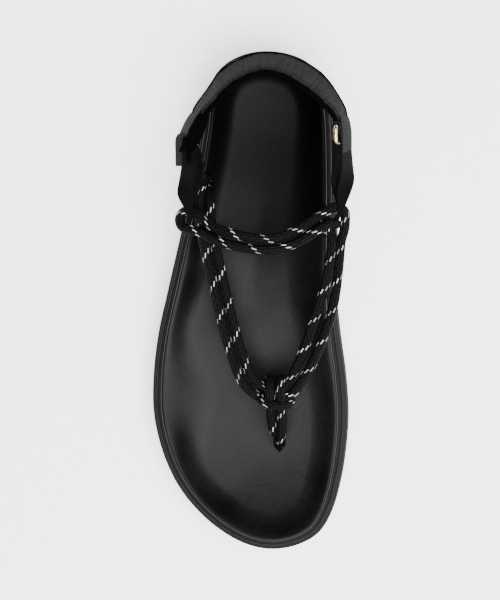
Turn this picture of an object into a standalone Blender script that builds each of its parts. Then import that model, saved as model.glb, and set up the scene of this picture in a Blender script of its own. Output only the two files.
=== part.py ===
"""Rope thong sandal for the right foot, standing empty on its sole.

Metres, +Z up. +X is the big toe side, -Y the toe, +Y the heel. The origin lies on
the floor under the middle of the heel. The sole is three layers, each with the same
outline set in by its own amount, and the upper is one doubled cord: it starts as a
bight at the outer side, crosses the instep, turns at the inner side, runs down to a
knot above the toe post and up again to the outer side. Tables hold shares of the
named sizes: along is a share of the sole's length from the back of the heel, across
a share of the ball width from the shoe's line, rise a share of the loops' height.
"""
import math

import bmesh
import bpy
from mathutils import Vector

# Driving sizes of the sole
SOLE_LENGTH = 0.258
BALL_WIDTH = 0.102
RIM_HEIGHT = 0.036
OUTSOLE_THICKNESS = 0.006
FOOTBED_THICKNESS = 0.0045
SIDE_DRAFT = 0.0041
LEDGE_WIDTH = 0.0009
RIM_ROUND = 0.0018
TOE_SPRING = 0.009
ARCH_LIFT = 0.0015
HEEL_BEVEL = 0.0015
ARCH_RISE = 0.005
WALL_WIDTH = 0.0105
SOFT_WALL = 0.013
ARCH_WALL = 0.0045
BOWL_DEPTH = 0.0035
GROOVE_WIDTH = 0.0035
GROOVE_DEPTH = 0.002
GROOVE_MARGIN = 0.010

# Driving sizes of the upper
ROPE_DIAMETER = 0.005
LOOP_HEIGHT = 0.052
STRAP_HEIGHT = 0.021
STRAP_THICKNESS = 0.004
WEBBING_HEIGHT = 0.014
WEBBING_THICKNESS = 0.0015
LOOP_SPREAD = 0.002
TAB_LENGTH = 0.017
TAB_THICKNESS = 0.0032
RING_LENGTH = 0.010
RING_WIRE = 0.002
RING_LEAN = 20

# Clearances
GAP = 0.0003
SLOT_CLEARANCE = 0.0007

# How fine the shapes are
HALF_STEPS = 36
ROPE_SIDES = 8
ROPE_STEP = 0.0055
ARC_STEPS = 6

# Stations along the sole, as shares of its length
ORIGIN_STATION = 0.16
HEEL_FLAT_START = 0.06
HEEL_FLAT_END = 0.30
BALL_FLAT_START = 0.55
BALL_FLAT_END = 0.79
SPINE_START = 0.13
SPINE_END = 0.86
ARCH_STATION = 0.42
ARCH_SPAN = 0.22
BALL_STATION = 0.66
BALL_SPAN = 0.24
BALL_EASING = 0.7
ARCH_WALL_STATION = 0.36
ARCH_WALL_SPAN = 0.34
UPPER_SPRING = 0.8
EASED_WALL_POWER = 1.4

# Sole outline: station, outer side, inner side
OUTLINE = (
    (0.000, 0.024, -0.024),
    (0.015, 0.187, 0.152),
    (0.043, 0.275, 0.242),
    (0.098, 0.338, 0.313),
    (0.166, 0.363, 0.332),
    (0.272, 0.409, 0.337),
    (0.372, 0.464, 0.337),
    (0.481, 0.528, 0.334),
    (0.563, 0.575, 0.353),
    (0.646, 0.601, 0.381),
    (0.728, 0.601, 0.395),
    (0.810, 0.553, 0.380),
    (0.879, 0.468, 0.348),
    (0.933, 0.351, 0.302),
    (0.974, 0.212, 0.224),
    (1.000, -0.011, 0.011),
)

# Heights: station, footbed floor, midsole ledge, rim crest, as shares of the rim height
HEIGHTS = (
    (0.00, 0.70, 0.83, 1.00),
    (0.16, 0.67, 0.82, 0.99),
    (0.30, 0.70, 0.79, 0.95),
    (0.42, 0.71, 0.75, 0.90),
    (0.55, 0.62, 0.69, 0.83),
    (0.68, 0.56, 0.65, 0.78),
    (0.84, 0.55, 0.64, 0.77),
    (1.00, 0.56, 0.64, 0.77),
)

# Midsole side: share of its height, share of the side draft
MIDSOLE_SIDE = (
    (0.06, 0.10),
    (0.32, 0.04),
    (0.37, 0.38),
    (0.45, 0.38),
    (0.50, 0.12),
    (0.76, 0.42),
    (0.94, 0.84),
)

# Inner wall of the footbed: share of the wall's width, share of its drop still to go
WALL_PROFILE = (
    (0.18, 0.90),
    (0.42, 0.58),
    (0.68, 0.22),
    (0.88, 0.05),
    (1.00, 0.00),
)

# Tread grooves, as stations on the two flats
GROOVES = (0.085, 0.120, 0.200, 0.235, 0.270, 0.585, 0.620, 0.700, 0.735, 0.770)

# Where the cords go down through the footbed: along, across
OUTER_SLOT = (0.268, -0.316)
INNER_SLOT = (0.343, 0.247)
TOE_SLOT = (0.790, 0.045)

# The V of doubled cord, from the outer slot round the knot to the inner corner:
# along, across, rise, spread in cord diameters, side vector's heading, its tilt
V_ROUTE = (
    (0.268, -0.316, 0.560, 1.06, -90, 0),
    (0.268, -0.317, 0.680, 1.06, -88, 0),
    (0.282, -0.324, 0.800, 1.06, -60, 0),
    (0.309, -0.323, 0.890, 1.06, -10, 0),
    (0.349, -0.312, 0.935, 1.08, 6, 0),
    (0.389, -0.295, 0.945, 1.08, 10, 0),
    (0.455, -0.257, 0.930, 1.08, 14, 0),
    (0.516, -0.222, 0.905, 1.08, 15, 0),
    (0.579, -0.182, 0.870, 1.08, 19, 0),
    (0.640, -0.129, 0.830, 1.08, 34, 0),
    (0.663, -0.093, 0.812, 1.08, 52, 0),
    (0.680, -0.038, 0.800, 1.08, 76, 0),
    (0.684, 0.021, 0.800, 1.08, 90, 0),
    (0.679, 0.081, 0.800, 1.08, 112, 0),
    (0.664, 0.119, 0.812, 1.10, 138, 0),
    (0.621, 0.181, 0.840, 1.30, 153, 0),
    (0.557, 0.245, 0.878, 1.50, 160, 4),
    (0.496, 0.293, 0.905, 1.38, 166, 16),
    (0.432, 0.323, 0.930, 1.18, 172, 36),
    (0.385, 0.334, 0.945, 1.14, 180, 34),
    (0.362, 0.340, 0.952, 1.34, 186, 12),
    (0.347, 0.344, 0.960, 1.40, 190, 0),
)

# The doubled cord over the instep, from the outer bight to the inner corner
INSTEP_ROUTE = (
    (0.340, -0.402, 0.990, 1.82, 74, 0),
    (0.344, -0.372, 1.015, 1.74, 68, 0),
    (0.356, -0.319, 1.045, 1.22, 63, 0),
    (0.369, -0.259, 1.080, 1.12, 66, 4),
    (0.379, -0.175, 1.120, 1.12, 76, 8),
    (0.387, -0.070, 1.150, 1.12, 85, 8),
    (0.388, 0.010, 1.155, 1.12, 93, 8),
    (0.383, 0.077, 1.145, 1.12, 104, 8),
    (0.371, 0.152, 1.120, 1.12, 118, 4),
    (0.352, 0.227, 1.080, 1.12, 124, 0),
    (0.338, 0.285, 1.045, 1.18, 112, 0),
    (0.331, 0.328, 1.010, 1.60, 92, 0),
    (0.337, 0.354, 0.982, 1.64, 59, 0),
)

# The doubled cord of the toe post: over the knot and down into the toe slot
POST_ROUTE = (
    (0.668, 0.027, 0.730, 1.06, 0, 0),
    (0.655, 0.028, 0.790, 1.06, 0, 0),
    (0.658, 0.029, 0.865, 1.06, 0, 0),
    (0.670, 0.030, 0.900, 1.06, 0, 0),
    (0.684, 0.031, 0.905, 1.06, 0, 0),
    (0.698, 0.031, 0.875, 1.06, 0, 0),
    (0.710, 0.032, 0.810, 1.06, -2, 0),
    (0.731, 0.036, 0.750, 1.06, -8, 0),
    (0.753, 0.041, 0.690, 1.06, -25, 0),
    (0.774, 0.045, 0.610, 1.06, -60, 0),
    (0.787, 0.046, 0.530, 1.06, -86, 0),
    (0.790, 0.045, 0.460, 1.06, -90, 0),
)

# The short doubled cord that holds the inner corner to the sole
INNER_ANCHOR_ROUTE = (
    (0.343, 0.247, 0.560, 1.06, -90, 0),
    (0.344, 0.248, 0.690, 1.06, -90, 0),
    (0.347, 0.258, 0.800, 1.06, -90, 0),
    (0.352, 0.285, 0.880, 1.06, -90, 0),
    (0.358, 0.315, 0.930, 1.06, -90, 0),
)

# The single cord that crosses in front of the toe post: along, across, rise
COLLAR_ROUTE = (
    (0.684, -0.056, 0.745),
    (0.694, -0.036, 0.830),
    (0.703, 0.005, 0.905),
    (0.706, 0.050, 0.905),
    (0.704, 0.088, 0.830),
    (0.696, 0.106, 0.745),
)

# Heel strap between its two eyes, outer to inner: along, across, rise, height,
# thickness, lean
STRAP_ROUTE = (
    (0.126, -0.334, 1.085, 0.78, 1.00, 20),
    (0.098, -0.274, 1.155, 0.88, 1.00, 22),
    (0.067, -0.204, 1.225, 0.98, 1.00, 27),
    (0.043, -0.117, 1.285, 1.04, 1.00, 29),
    (0.032, -0.021, 1.300, 1.06, 1.00, 29),
    (0.037, 0.076, 1.290, 1.07, 1.00, 30),
    (0.055, 0.168, 1.255, 1.06, 1.00, 31),
    (0.080, 0.247, 1.200, 1.00, 1.00, 30),
    (0.105, 0.303, 1.145, 0.88, 1.00, 25),
    (0.128, 0.345, 1.085, 0.75, 0.98, 20),
)

# Rings: middle along, across, rise, and the heading of their length in the plan
OUTER_RING = (0.1660, -0.3840, 1.055, -114)
INNER_RING = (0.1740, 0.3610, 1.055, -88)

# Webbing between ring and cord: along, across, rise, half spread, height, turn
# (turn 0 stands on edge, 90 lies flat)
INNER_WEBBING = (
    (0.2150, 0.3640, 1.050, 1.05, 1.00, 22),
    (0.2400, 0.3660, 1.042, 1.10, 0.98, 26),
    (0.2650, 0.3660, 1.030, 1.20, 0.80, 42),
    (0.2900, 0.3600, 1.005, 1.50, 0.50, 74),
)
OUTER_WEBBING = (
    (0.2150, -0.3850, 1.045, 1.05, 1.00, 22),
    (0.2430, -0.3800, 1.035, 1.05, 0.96, 26),
    (0.2680, -0.3880, 1.020, 1.20, 0.84, 42),
    (0.2920, -0.4020, 1.005, 1.50, 0.60, 74),
)

# Eyes of the webbing round one strand: along, across, rise, heading, play, width
INNER_EYE = (0.3239, 0.3548, 0.9904, -116, 0.0006, 0.176)
OUTER_EYE = (0.3301, -0.3885, 0.9891, -102, 0.0005, 0.178)

# Looks: colour, roughness, metallic
FINISHES = {
    "footbed_leather": ((0.018, 0.018, 0.019), 0.42, 0.0),
    "midsole_foam": ((0.012, 0.012, 0.012), 0.60, 0.0),
    "outsole_rubber": ((0.010, 0.010, 0.010), 0.75, 0.0),
    "rope": ((0.014, 0.014, 0.015), 0.80, 0.0),
    "strap_textile": ((0.022, 0.021, 0.020), 0.85, 0.0),
    "gold_metal": ((0.83, 0.66, 0.38), 0.28, 1.0),
}


def clear_scene():
    for item in list(bpy.data.objects):
        bpy.data.objects.remove(item, do_unlink=True)


def finish(name):
    """The material of one finish, made on first use."""
    material = bpy.data.materials.get(name)
    if material:
        return material
    colour, roughness, metallic = FINISHES[name]
    material = bpy.data.materials.new(name)
    material.use_nodes = True
    shader = material.node_tree.nodes["Principled BSDF"]
    shader.inputs["Base Color"].default_value = (*colour, 1.0)
    shader.inputs["Roughness"].default_value = roughness
    shader.inputs["Metallic"].default_value = metallic
    return material


def make_object(name, shape, look=None):
    """Turn a bmesh into an object; without a look it is a hidden cutter."""
    bmesh.ops.recalc_face_normals(shape, faces=shape.faces)
    mesh = bpy.data.meshes.new(name)
    shape.to_mesh(mesh)
    shape.free()
    item = bpy.data.objects.new(name, mesh)
    bpy.context.collection.objects.link(item)
    if look:
        mesh.materials.append(finish(look))
        mesh.shade_smooth()
        mesh.set_sharp_from_angle(angle=math.radians(35))
    else:
        item.hide_render = True
        item.display_type = "WIRE"
    return item


def combine(item, other, operation):
    """Add a live exact Boolean to an object."""
    modifier = item.modifiers.new(other.name, "BOOLEAN")
    modifier.operation = operation
    modifier.object = other
    modifier.solver = "EXACT"


# Smooth tables and simple curves


def step(value, start, end):
    """Smooth rise from 0 at start to 1 at end."""
    share = min(1.0, max(0.0, (value - start) / (end - start)))
    return share * share * (3 - 2 * share)


def hump(value, middle, span):
    """Smooth bump of height 1 that ends one span from its middle."""
    distance = abs(value - middle) / span
    return 0.0 if distance >= 1 else math.cos(distance * math.pi / 2) ** 2


def read_table(keys, values, key):
    """Cubic through a table's values, with slopes from the neighbouring rows."""
    last = len(keys) - 1
    low = 0
    while low < last - 1 and key > keys[low + 1]:
        low += 1

    def slope(row):
        before = max(0, row - 1)
        after = min(last, row + 1)
        return (values[after] - values[before]) / (keys[after] - keys[before])

    width = keys[low + 1] - keys[low]
    share = min(1.0, max(0.0, (key - keys[low]) / width))
    square = share * share
    cube = square * share
    return (
        (2 * cube - 3 * square + 1) * values[low]
        + (cube - 2 * square + share) * width * slope(low)
        + (3 * square - 2 * cube) * values[low + 1]
        + (cube - square) * width * slope(low + 1)
    )


def round_key(station):
    """Angle whose cosine gives the station, so that the ends of the outline are round."""
    return math.acos(max(-1.0, min(1.0, 1 - 2 * station)))


OUTLINE_KEYS = [round_key(row[0]) for row in OUTLINE]
HEIGHT_KEYS = [row[0] for row in HEIGHTS]


def outer_edge(station):
    values = [-row[1] for row in OUTLINE]
    return BALL_WIDTH * read_table(OUTLINE_KEYS, values, round_key(station))


def inner_edge(station):
    values = [row[2] for row in OUTLINE]
    return BALL_WIDTH * read_table(OUTLINE_KEYS, values, round_key(station))


def middle_line(station):
    return (outer_edge(station) + inner_edge(station)) / 2


def y_of(station):
    return (ORIGIN_STATION - station) * SOLE_LENGTH


def station_of(y):
    return min(1.0, max(0.0, ORIGIN_STATION - y / SOLE_LENGTH))


def side_of(x, station):
    """-1 at the outer edge, 0 in the middle, 1 at the inner edge."""
    half = max(0.004, (inner_edge(station) - outer_edge(station)) / 2)
    return max(-1.0, min(1.0, (x - middle_line(station)) / half))


# Heights of the sole's surfaces


def spring(station):
    share = max(0.0, (station - BALL_FLAT_END) / (1 - BALL_FLAT_END))
    return TOE_SPRING * share**1.8


def ground_line(station):
    """Underside of the sole: flat at heel and ball, lifted at arch, toe and back."""
    lift = spring(station)
    if HEEL_FLAT_END < station < BALL_FLAT_START:
        share = (station - HEEL_FLAT_END) / (BALL_FLAT_START - HEEL_FLAT_END)
        lift += ARCH_LIFT * math.sin(math.pi * share) ** 2
    if station < HEEL_FLAT_START:
        lift += HEEL_BEVEL * (1 - station / HEEL_FLAT_START) ** 2
    return lift


def height_row(column, station):
    values = [row[column] for row in HEIGHTS]
    level = RIM_HEIGHT * read_table(HEIGHT_KEYS, values, station)
    return level + UPPER_SPRING * spring(station)


def arch_lift(station, side):
    return ARCH_RISE * hump(station, ARCH_STATION, ARCH_SPAN) * max(0.0, side)


def softness(station, side):
    """How far the footbed's wall flattens out towards the outer side of the ball."""
    return hump(station, BALL_STATION, BALL_SPAN) * max(0.0, -side)


def floor_level(station, side):
    """Walking surface of the footbed, cupped all round and raised under the arch."""
    cup = BOWL_DEPTH * side * side * (1 - BALL_EASING * softness(station, side))
    pad = 0.0012 * hump(station, 0.58, 0.09) * (1 - side * side)
    return height_row(1, station) + cup + pad + 0.9 * arch_lift(station, side)


def tray_level(station, _side=0.0):
    return height_row(1, station) - FOOTBED_THICKNESS


def ledge_level(station, side):
    return height_row(2, station) + 0.6 * arch_lift(station, side)


def crest_level(station, side):
    return height_row(3, station) + arch_lift(station, side)


def wall_width(station, side):
    """The inner wall is widest at the outer side of the ball, and wide under the arch."""
    arch_side = ARCH_WALL * hump(station, ARCH_WALL_STATION, ARCH_WALL_SPAN) * max(0.0, side)
    return WALL_WIDTH + SOFT_WALL * softness(station, side) + arch_side


# Rings of points that follow the outline


def outline_points():
    """Heel, inner side, toe, outer side, with the spine point that each one faces."""
    points = []
    for number in range(2 * HALF_STEPS):
        turn = number if number <= HALF_STEPS else 2 * HALF_STEPS - number
        station = (1 - math.cos(math.pi * turn / HALF_STEPS)) / 2
        edge = inner_edge(station) if number <= HALF_STEPS else outer_edge(station)
        spine_station = min(SPINE_END, max(SPINE_START, station))
        spine = Vector((middle_line(spine_station), y_of(spine_station), 0))
        points.append((Vector((edge, y_of(station), 0)), spine))
    return points


def inward_normals(points):
    normals = []
    for number in range(len(points)):
        before = points[number - 1][0]
        after = points[(number + 1) % len(points)][0]
        along = (after - before).normalized()
        normals.append(Vector((along.y, -along.x, 0)))
    return normals


OUTLINE_POINTS = outline_points()
NORMALS = inward_normals(OUTLINE_POINTS)


def ring(inset, level):
    """The outline set in by an inset, lifted to a level; both may be functions."""
    points = []
    for (edge, _spine), normal in zip(OUTLINE_POINTS, NORMALS):
        station = station_of(edge.y)
        amount = inset(station, side_of(edge.x, station)) if callable(inset) else inset
        place = edge + normal * amount
        station = station_of(place.y)
        place.z = level(station, side_of(place.x, station))
        points.append(place)
    return points


def toward_spine(points, share, level):
    """A ring part of the way from another ring to the spine."""
    result = []
    for place, (_edge, spine) in zip(points, OUTLINE_POINTS):
        flat = Vector((place.x, place.y, 0)).lerp(spine, share)
        station = station_of(flat.y)
        flat.z = level(station, side_of(flat.x, station))
        result.append(flat)
    return result


def stacked_shape(rings):
    """Close a stack of rings whose first and last lie on the spine."""
    shape = bmesh.new()
    rows = [[shape.verts.new(place) for place in points] for points in rings]
    count = len(rows[0])
    for low, high in zip(rows, rows[1:]):
        for number in range(count):
            after = (number + 1) % count
            shape.faces.new((low[number], low[after], high[after], high[number]))
    bmesh.ops.remove_doubles(shape, verts=shape.verts, dist=1e-6)
    bmesh.ops.dissolve_degenerate(shape, edges=shape.edges, dist=1e-7)
    return shape


# The three layers of the sole


def outsole_top(station, _side=0.0):
    return ground_line(station) + OUTSOLE_THICKNESS


def build_outsole():
    def ground(station, _side):
        return ground_line(station)

    def raised(amount):
        return lambda station, _side: ground_line(station) + amount

    tread = ring(0.0022, ground)
    top = ring(0.0009, outsole_top)
    rings = [
        toward_spine(tread, 1.0, ground),
        tread,
        ring(0.0007, raised(0.0010)),
        ring(0.0, raised(0.0024)),
        ring(0.0, raised(OUTSOLE_THICKNESS - 0.0009)),
        top,
        toward_spine(top, 1.0, outsole_top),
    ]
    outsole = make_object("outsole", stacked_shape(rings), "outsole_rubber")
    for number, station in enumerate(GROOVES):
        half = (inner_edge(station) - outer_edge(station)) / 2 - GROOVE_MARGIN
        cutter = bmesh.new()
        bmesh.ops.create_cube(cutter, size=1.0)
        for corner in cutter.verts:
            corner.co.x = middle_line(station) + corner.co.x * 2 * half
            corner.co.y = y_of(station) + corner.co.y * GROOVE_WIDTH
            corner.co.z *= 2 * GROOVE_DEPTH
        combine(outsole, make_object("groove_%02d" % number, cutter), "DIFFERENCE")
    return outsole


def midsole_bottom(station, _side=0.0):
    return outsole_top(station) + GAP


def build_midsole():
    def side_level(share):
        def level(station, side):
            low = midsole_bottom(station)
            return low + share * (ledge_level(station, side) - low)

        return level

    base = ring(0.0015, midsole_bottom)
    tray = ring(SIDE_DRAFT + LEDGE_WIDTH + 0.0006, tray_level)
    rings = [toward_spine(base, 1.0, midsole_bottom), base]
    rings += [ring(share * SIDE_DRAFT, side_level(rise)) for rise, share in MIDSOLE_SIDE]
    rings += [
        ring(SIDE_DRAFT, ledge_level),
        ring(SIDE_DRAFT + LEDGE_WIDTH, ledge_level),
        tray,
        toward_spine(tray, 1.0, tray_level),
    ]
    return make_object("midsole", stacked_shape(rings), "midsole_foam")


def slot_cutter(name, place):
    """A stadium-shaped cutter, long from heel to toe, for one doubled cord."""
    along, across = place
    radius = ROPE_DIAMETER / 2 + SLOT_CLEARANCE
    half = 1.06 * ROPE_DIAMETER / 2
    station_y = y_of(along)
    shape = bmesh.new()
    low = []
    high = []
    for end, start in ((1, 0.0), (-1, math.pi)):
        for number in range(ARC_STEPS + 1):
            angle = start + math.pi * number / ARC_STEPS
            x = across * BALL_WIDTH + radius * math.cos(angle)
            y = station_y + end * half + radius * math.sin(angle)
            low.append(shape.verts.new((x, y, 0.0)))
            high.append(shape.verts.new((x, y, 2 * RIM_HEIGHT)))
    count = len(low)
    for number in range(count):
        after = (number + 1) % count
        shape.faces.new((low[number], low[after], high[after], high[number]))
    shape.faces.new(list(reversed(low)))
    shape.faces.new(high)
    return make_object(name, shape)


def build_footbed():
    outer = SIDE_DRAFT + LEDGE_WIDTH + GAP
    crest = outer + RIM_ROUND / 2

    def under(station, _side):
        return tray_level(station) + GAP

    def near_crest(drop):
        return lambda station, side: crest_level(station, side) - drop

    def wall_inset(share):
        return lambda station, side: crest + share * wall_width(station, side)

    def wall_level(share, left):
        def level(station, side):
            low = floor_level(station, side)
            eased = max(0.0, 1 - share) ** EASED_WALL_POWER
            drop = left + softness(station, side) * (eased - left)
            return low + drop * (crest_level(station, side) - low)

        return level

    base = ring(outer + 0.0006, under)
    rings = [
        toward_spine(base, 1.0, under),
        base,
        ring(outer, near_crest(RIM_ROUND)),
        ring(outer + 0.0003, near_crest(RIM_ROUND * 0.3)),
        ring(crest, crest_level),
    ]
    rings += [ring(wall_inset(share), wall_level(share, left)) for share, left in WALL_PROFILE]
    floor = rings[-1]
    rings += [toward_spine(floor, share, floor_level) for share in (0.3, 0.65, 1.0)]
    footbed = make_object("footbed", stacked_shape(rings), "footbed_leather")
    for name, place in (("outer_slot", OUTER_SLOT), ("inner_slot", INNER_SLOT), ("toe_slot", TOE_SLOT)):
        combine(footbed, slot_cutter(name, place), "DIFFERENCE")
    return footbed


# Cords


def place_of(along, across, rise):
    return Vector((across * BALL_WIDTH, y_of(along), rise * LOOP_HEIGHT))


def smooth_line(points, spacing):
    """Points at an even spacing on a smooth curve through the given ones."""
    fine = []
    last = len(points) - 1
    for number in range(last):
        first = points[max(0, number - 1)]
        start = points[number]
        end = points[number + 1]
        final = points[min(last, number + 2)]
        for part in range(12):
            t = part / 12
            fine.append(
                0.5
                * (
                    2 * start
                    + (end - first) * t
                    + (2 * first - 5 * start + 4 * end - final) * t * t
                    + (3 * start - first - 3 * end + final) * t * t * t
                )
            )
    fine.append(points[-1])
    length = sum((b - a).length for a, b in zip(fine, fine[1:]))
    count = max(2, round(length / spacing))
    result = [fine[0]]
    travelled = 0.0
    for start, end in zip(fine, fine[1:]):
        piece = (end - start).length
        while len(result) < count and travelled + piece >= length * len(result) / count:
            share = (length * len(result) / count - travelled) / piece
            result.append(start.lerp(end, share))
        travelled += piece
    result.append(fine[-1])
    return result


def side_vector(heading, tilt, along):
    """Direction from the doubled cord's middle to its first strand."""
    flat = Vector((math.cos(math.radians(heading)), math.sin(math.radians(heading)), 0))
    flat = (flat - along * flat.dot(along)).normalized()
    up = along.cross(flat)
    if up.z < 0:
        up = -up
    return flat * math.cos(math.radians(tilt)) + up * math.sin(math.radians(tilt))


def strands(route, end=None):
    """The two strands of a doubled cord's route, and the side vectors of its rows."""
    middles = [place_of(*row[:3]) for row in route]
    if end:
        along, across = end
        foot = place_of(along, across, 0)
        foot.z = tray_level(along) + 2 * GAP
        middles.insert(0, foot)
        route = (route[0],) + tuple(route)
    sides = []
    for number, row in enumerate(route):
        before = middles[max(0, number - 1)]
        after = middles[min(len(middles) - 1, number + 1)]
        sides.append(side_vector(row[4], row[5], (after - before).normalized()))
    spreads = [row[3] * ROPE_DIAMETER / 2 for row in route]
    first = [m + s * w for m, s, w in zip(middles, sides, spreads)]
    second = [m - s * w for m, s, w in zip(middles, sides, spreads)]
    return first, second, sides


def tube(points, radius=ROPE_DIAMETER / 2):
    """A capped tube along a line of points, with no twist."""
    shape = bmesh.new()
    rows = []
    last = len(points) - 1
    across = None
    for number, place in enumerate(points):
        along = (points[min(last, number + 1)] - points[max(0, number - 1)]).normalized()
        if across is None:
            guide = Vector((0, 0, 1)) if abs(along.z) < 0.8 else Vector((1, 0, 0))
            across = along.cross(guide)
        across = (across - along * across.dot(along)).normalized()
        up = along.cross(across)
        row = []
        for corner in range(ROPE_SIDES):
            angle = 2 * math.pi * (corner + 0.5) / ROPE_SIDES
            row.append(shape.verts.new(place + radius * (across * math.cos(angle) + up * math.sin(angle))))
        rows.append(row)
    for low, high in zip(rows, rows[1:]):
        for number in range(ROPE_SIDES):
            after = (number + 1) % ROPE_SIDES
            shape.faces.new((low[number], low[after], high[after], high[number]))
    shape.faces.new(list(reversed(rows[0])))
    shape.faces.new(rows[-1])
    return shape


def build_rope_upper():
    """All the cords, joined where they cross."""
    v_inner, v_outer, _ = strands(V_ROUTE, OUTER_SLOT)
    over_first, over_second, over_sides = strands(INSTEP_ROUTE)
    post_right, post_left, _ = strands(tuple(reversed(POST_ROUTE)), TOE_SLOT)
    anchor_front, anchor_back, _ = strands(INNER_ANCHOR_ROUTE, INNER_SLOT)

    middle = (over_first[0] + over_second[0]) / 2
    reach = (over_first[0] - over_second[0]).length / 2
    outward = (over_first[0] - over_first[1] + over_second[0] - over_second[1]).normalized()
    bight = []
    for degrees in (30, 60, 90, 120, 150):
        angle = math.radians(degrees)
        bight.append(middle + over_sides[0] * reach * math.cos(angle) + outward * reach * math.sin(angle))

    lines = {
        "long_strand": v_outer + list(reversed(over_first)) + bight + over_second,
        "anchor_front": anchor_front,
        "anchor_back": anchor_back,
        "post_left": post_left,
        "post_right": post_right,
        "collar": [place_of(*row) for row in COLLAR_ROUTE],
    }
    upper = make_object("rope_upper", tube(smooth_line(v_inner, ROPE_STEP)), "rope")
    for name, points in lines.items():
        combine(upper, make_object(name, tube(smooth_line(points, ROPE_STEP))), "UNION")
    return upper


# Straps, webbing and rings


def sweep(frames, closed=False):
    """A band through frames of (place, half thickness vector, half height vector)."""
    shape = bmesh.new()
    rows = []
    for place, thick, tall in frames:
        corners = ((1, -0.86), (1, 0.86), (0.6, 1), (-0.6, 1), (-1, 0.86), (-1, -0.86), (-0.6, -1), (0.6, -1))
        rows.append([shape.verts.new(place + thick * a + tall * b) for a, b in corners])
    pairs = list(zip(rows, rows[1:]))
    if closed:
        pairs.append((rows[-1], rows[0]))
    count = len(rows[0])
    for low, high in pairs:
        for number in range(count):
            after = (number + 1) % count
            shape.faces.new((low[number], low[after], high[after], high[number]))
    if not closed:
        shape.faces.new(list(reversed(rows[0])))
        shape.faces.new(rows[-1])
    return shape


def ring_bars(ring_row):
    """Middles of a ring's rear and front upright bars, and its heading."""
    along, across, rise, heading = ring_row
    middle = place_of(along, across, rise)
    way = Vector((math.cos(math.radians(heading)), math.sin(math.radians(heading)), 0))
    half = (RING_LENGTH - RING_WIRE) / 2
    return middle - way * half, middle + way * half, way


def ring_axes(ring_row):
    """Directions up along a ring's bars, which lean in over the foot, and out of its plane."""
    _rear, _front, way = ring_bars(ring_row)
    side = Vector((way.y, -way.x, 0))
    if side.x * ring_row[1] < 0:
        side = -side
    lean = math.radians(RING_LEAN)
    up = Vector((0, 0, math.cos(lean))) - side * math.sin(lean)
    out = side * math.cos(lean) + Vector((0, 0, math.sin(lean)))
    return up, out


def build_ring(name, ring_row):
    """A rectangular wire ring on edge, with round corners."""
    rear, front, way = ring_bars(ring_row)
    up, out = ring_axes(ring_row)
    middle = (rear + front) / 2
    half_length = (RING_LENGTH - RING_WIRE) / 2
    half_height = WEBBING_HEIGHT / 2 + 0.0006 + RING_WIRE / 2
    corner = RING_WIRE * 0.8
    line = []
    for number, (a, b) in enumerate(((1, 1), (-1, 1), (-1, -1), (1, -1))):
        for part in range(4):
            angle = math.pi / 2 * (number + part / 3)
            x = a * (half_length - corner) + corner * math.cos(angle)
            z = b * (half_height - corner) + corner * math.sin(angle)
            line.append(middle + way * x + up * z)
    shape = bmesh.new()
    rows = []
    for number, place in enumerate(line):
        along = (line[(number + 1) % len(line)] - line[number - 1]).normalized()
        across = along.cross(out)
        rows.append(
            [
                shape.verts.new(place + RING_WIRE / 2 * (across * math.cos(t) + out * math.sin(t)))
                for t in (math.pi * (k + 0.5) / 4 for k in range(8))
            ]
        )
    for low, high in zip(rows, rows[1:] + rows[:1]):
        for k in range(8):
            shape.faces.new((low[k], low[(k + 1) % 8], high[(k + 1) % 8], high[k]))
    return make_object(name, shape, "gold_metal")


def eye_shape(ring_row):
    """The turned end of the strap round a ring's rear bar: a short open tube."""
    rear, _front, way = ring_bars(ring_row)
    up, _out = ring_axes(ring_row)
    side = up.cross(way)
    inner = RING_WIRE / 2 + GAP
    outer = inner + WEBBING_THICKNESS
    frames = []
    for number in range(12):
        angle = 2 * math.pi * number / 12
        out = way * math.cos(angle) + side * math.sin(angle)
        frames.append((rear + out * (inner + outer) / 2, out * (outer - inner) / 2, up * WEBBING_HEIGHT / 2))
    return sweep(frames, closed=True)


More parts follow.
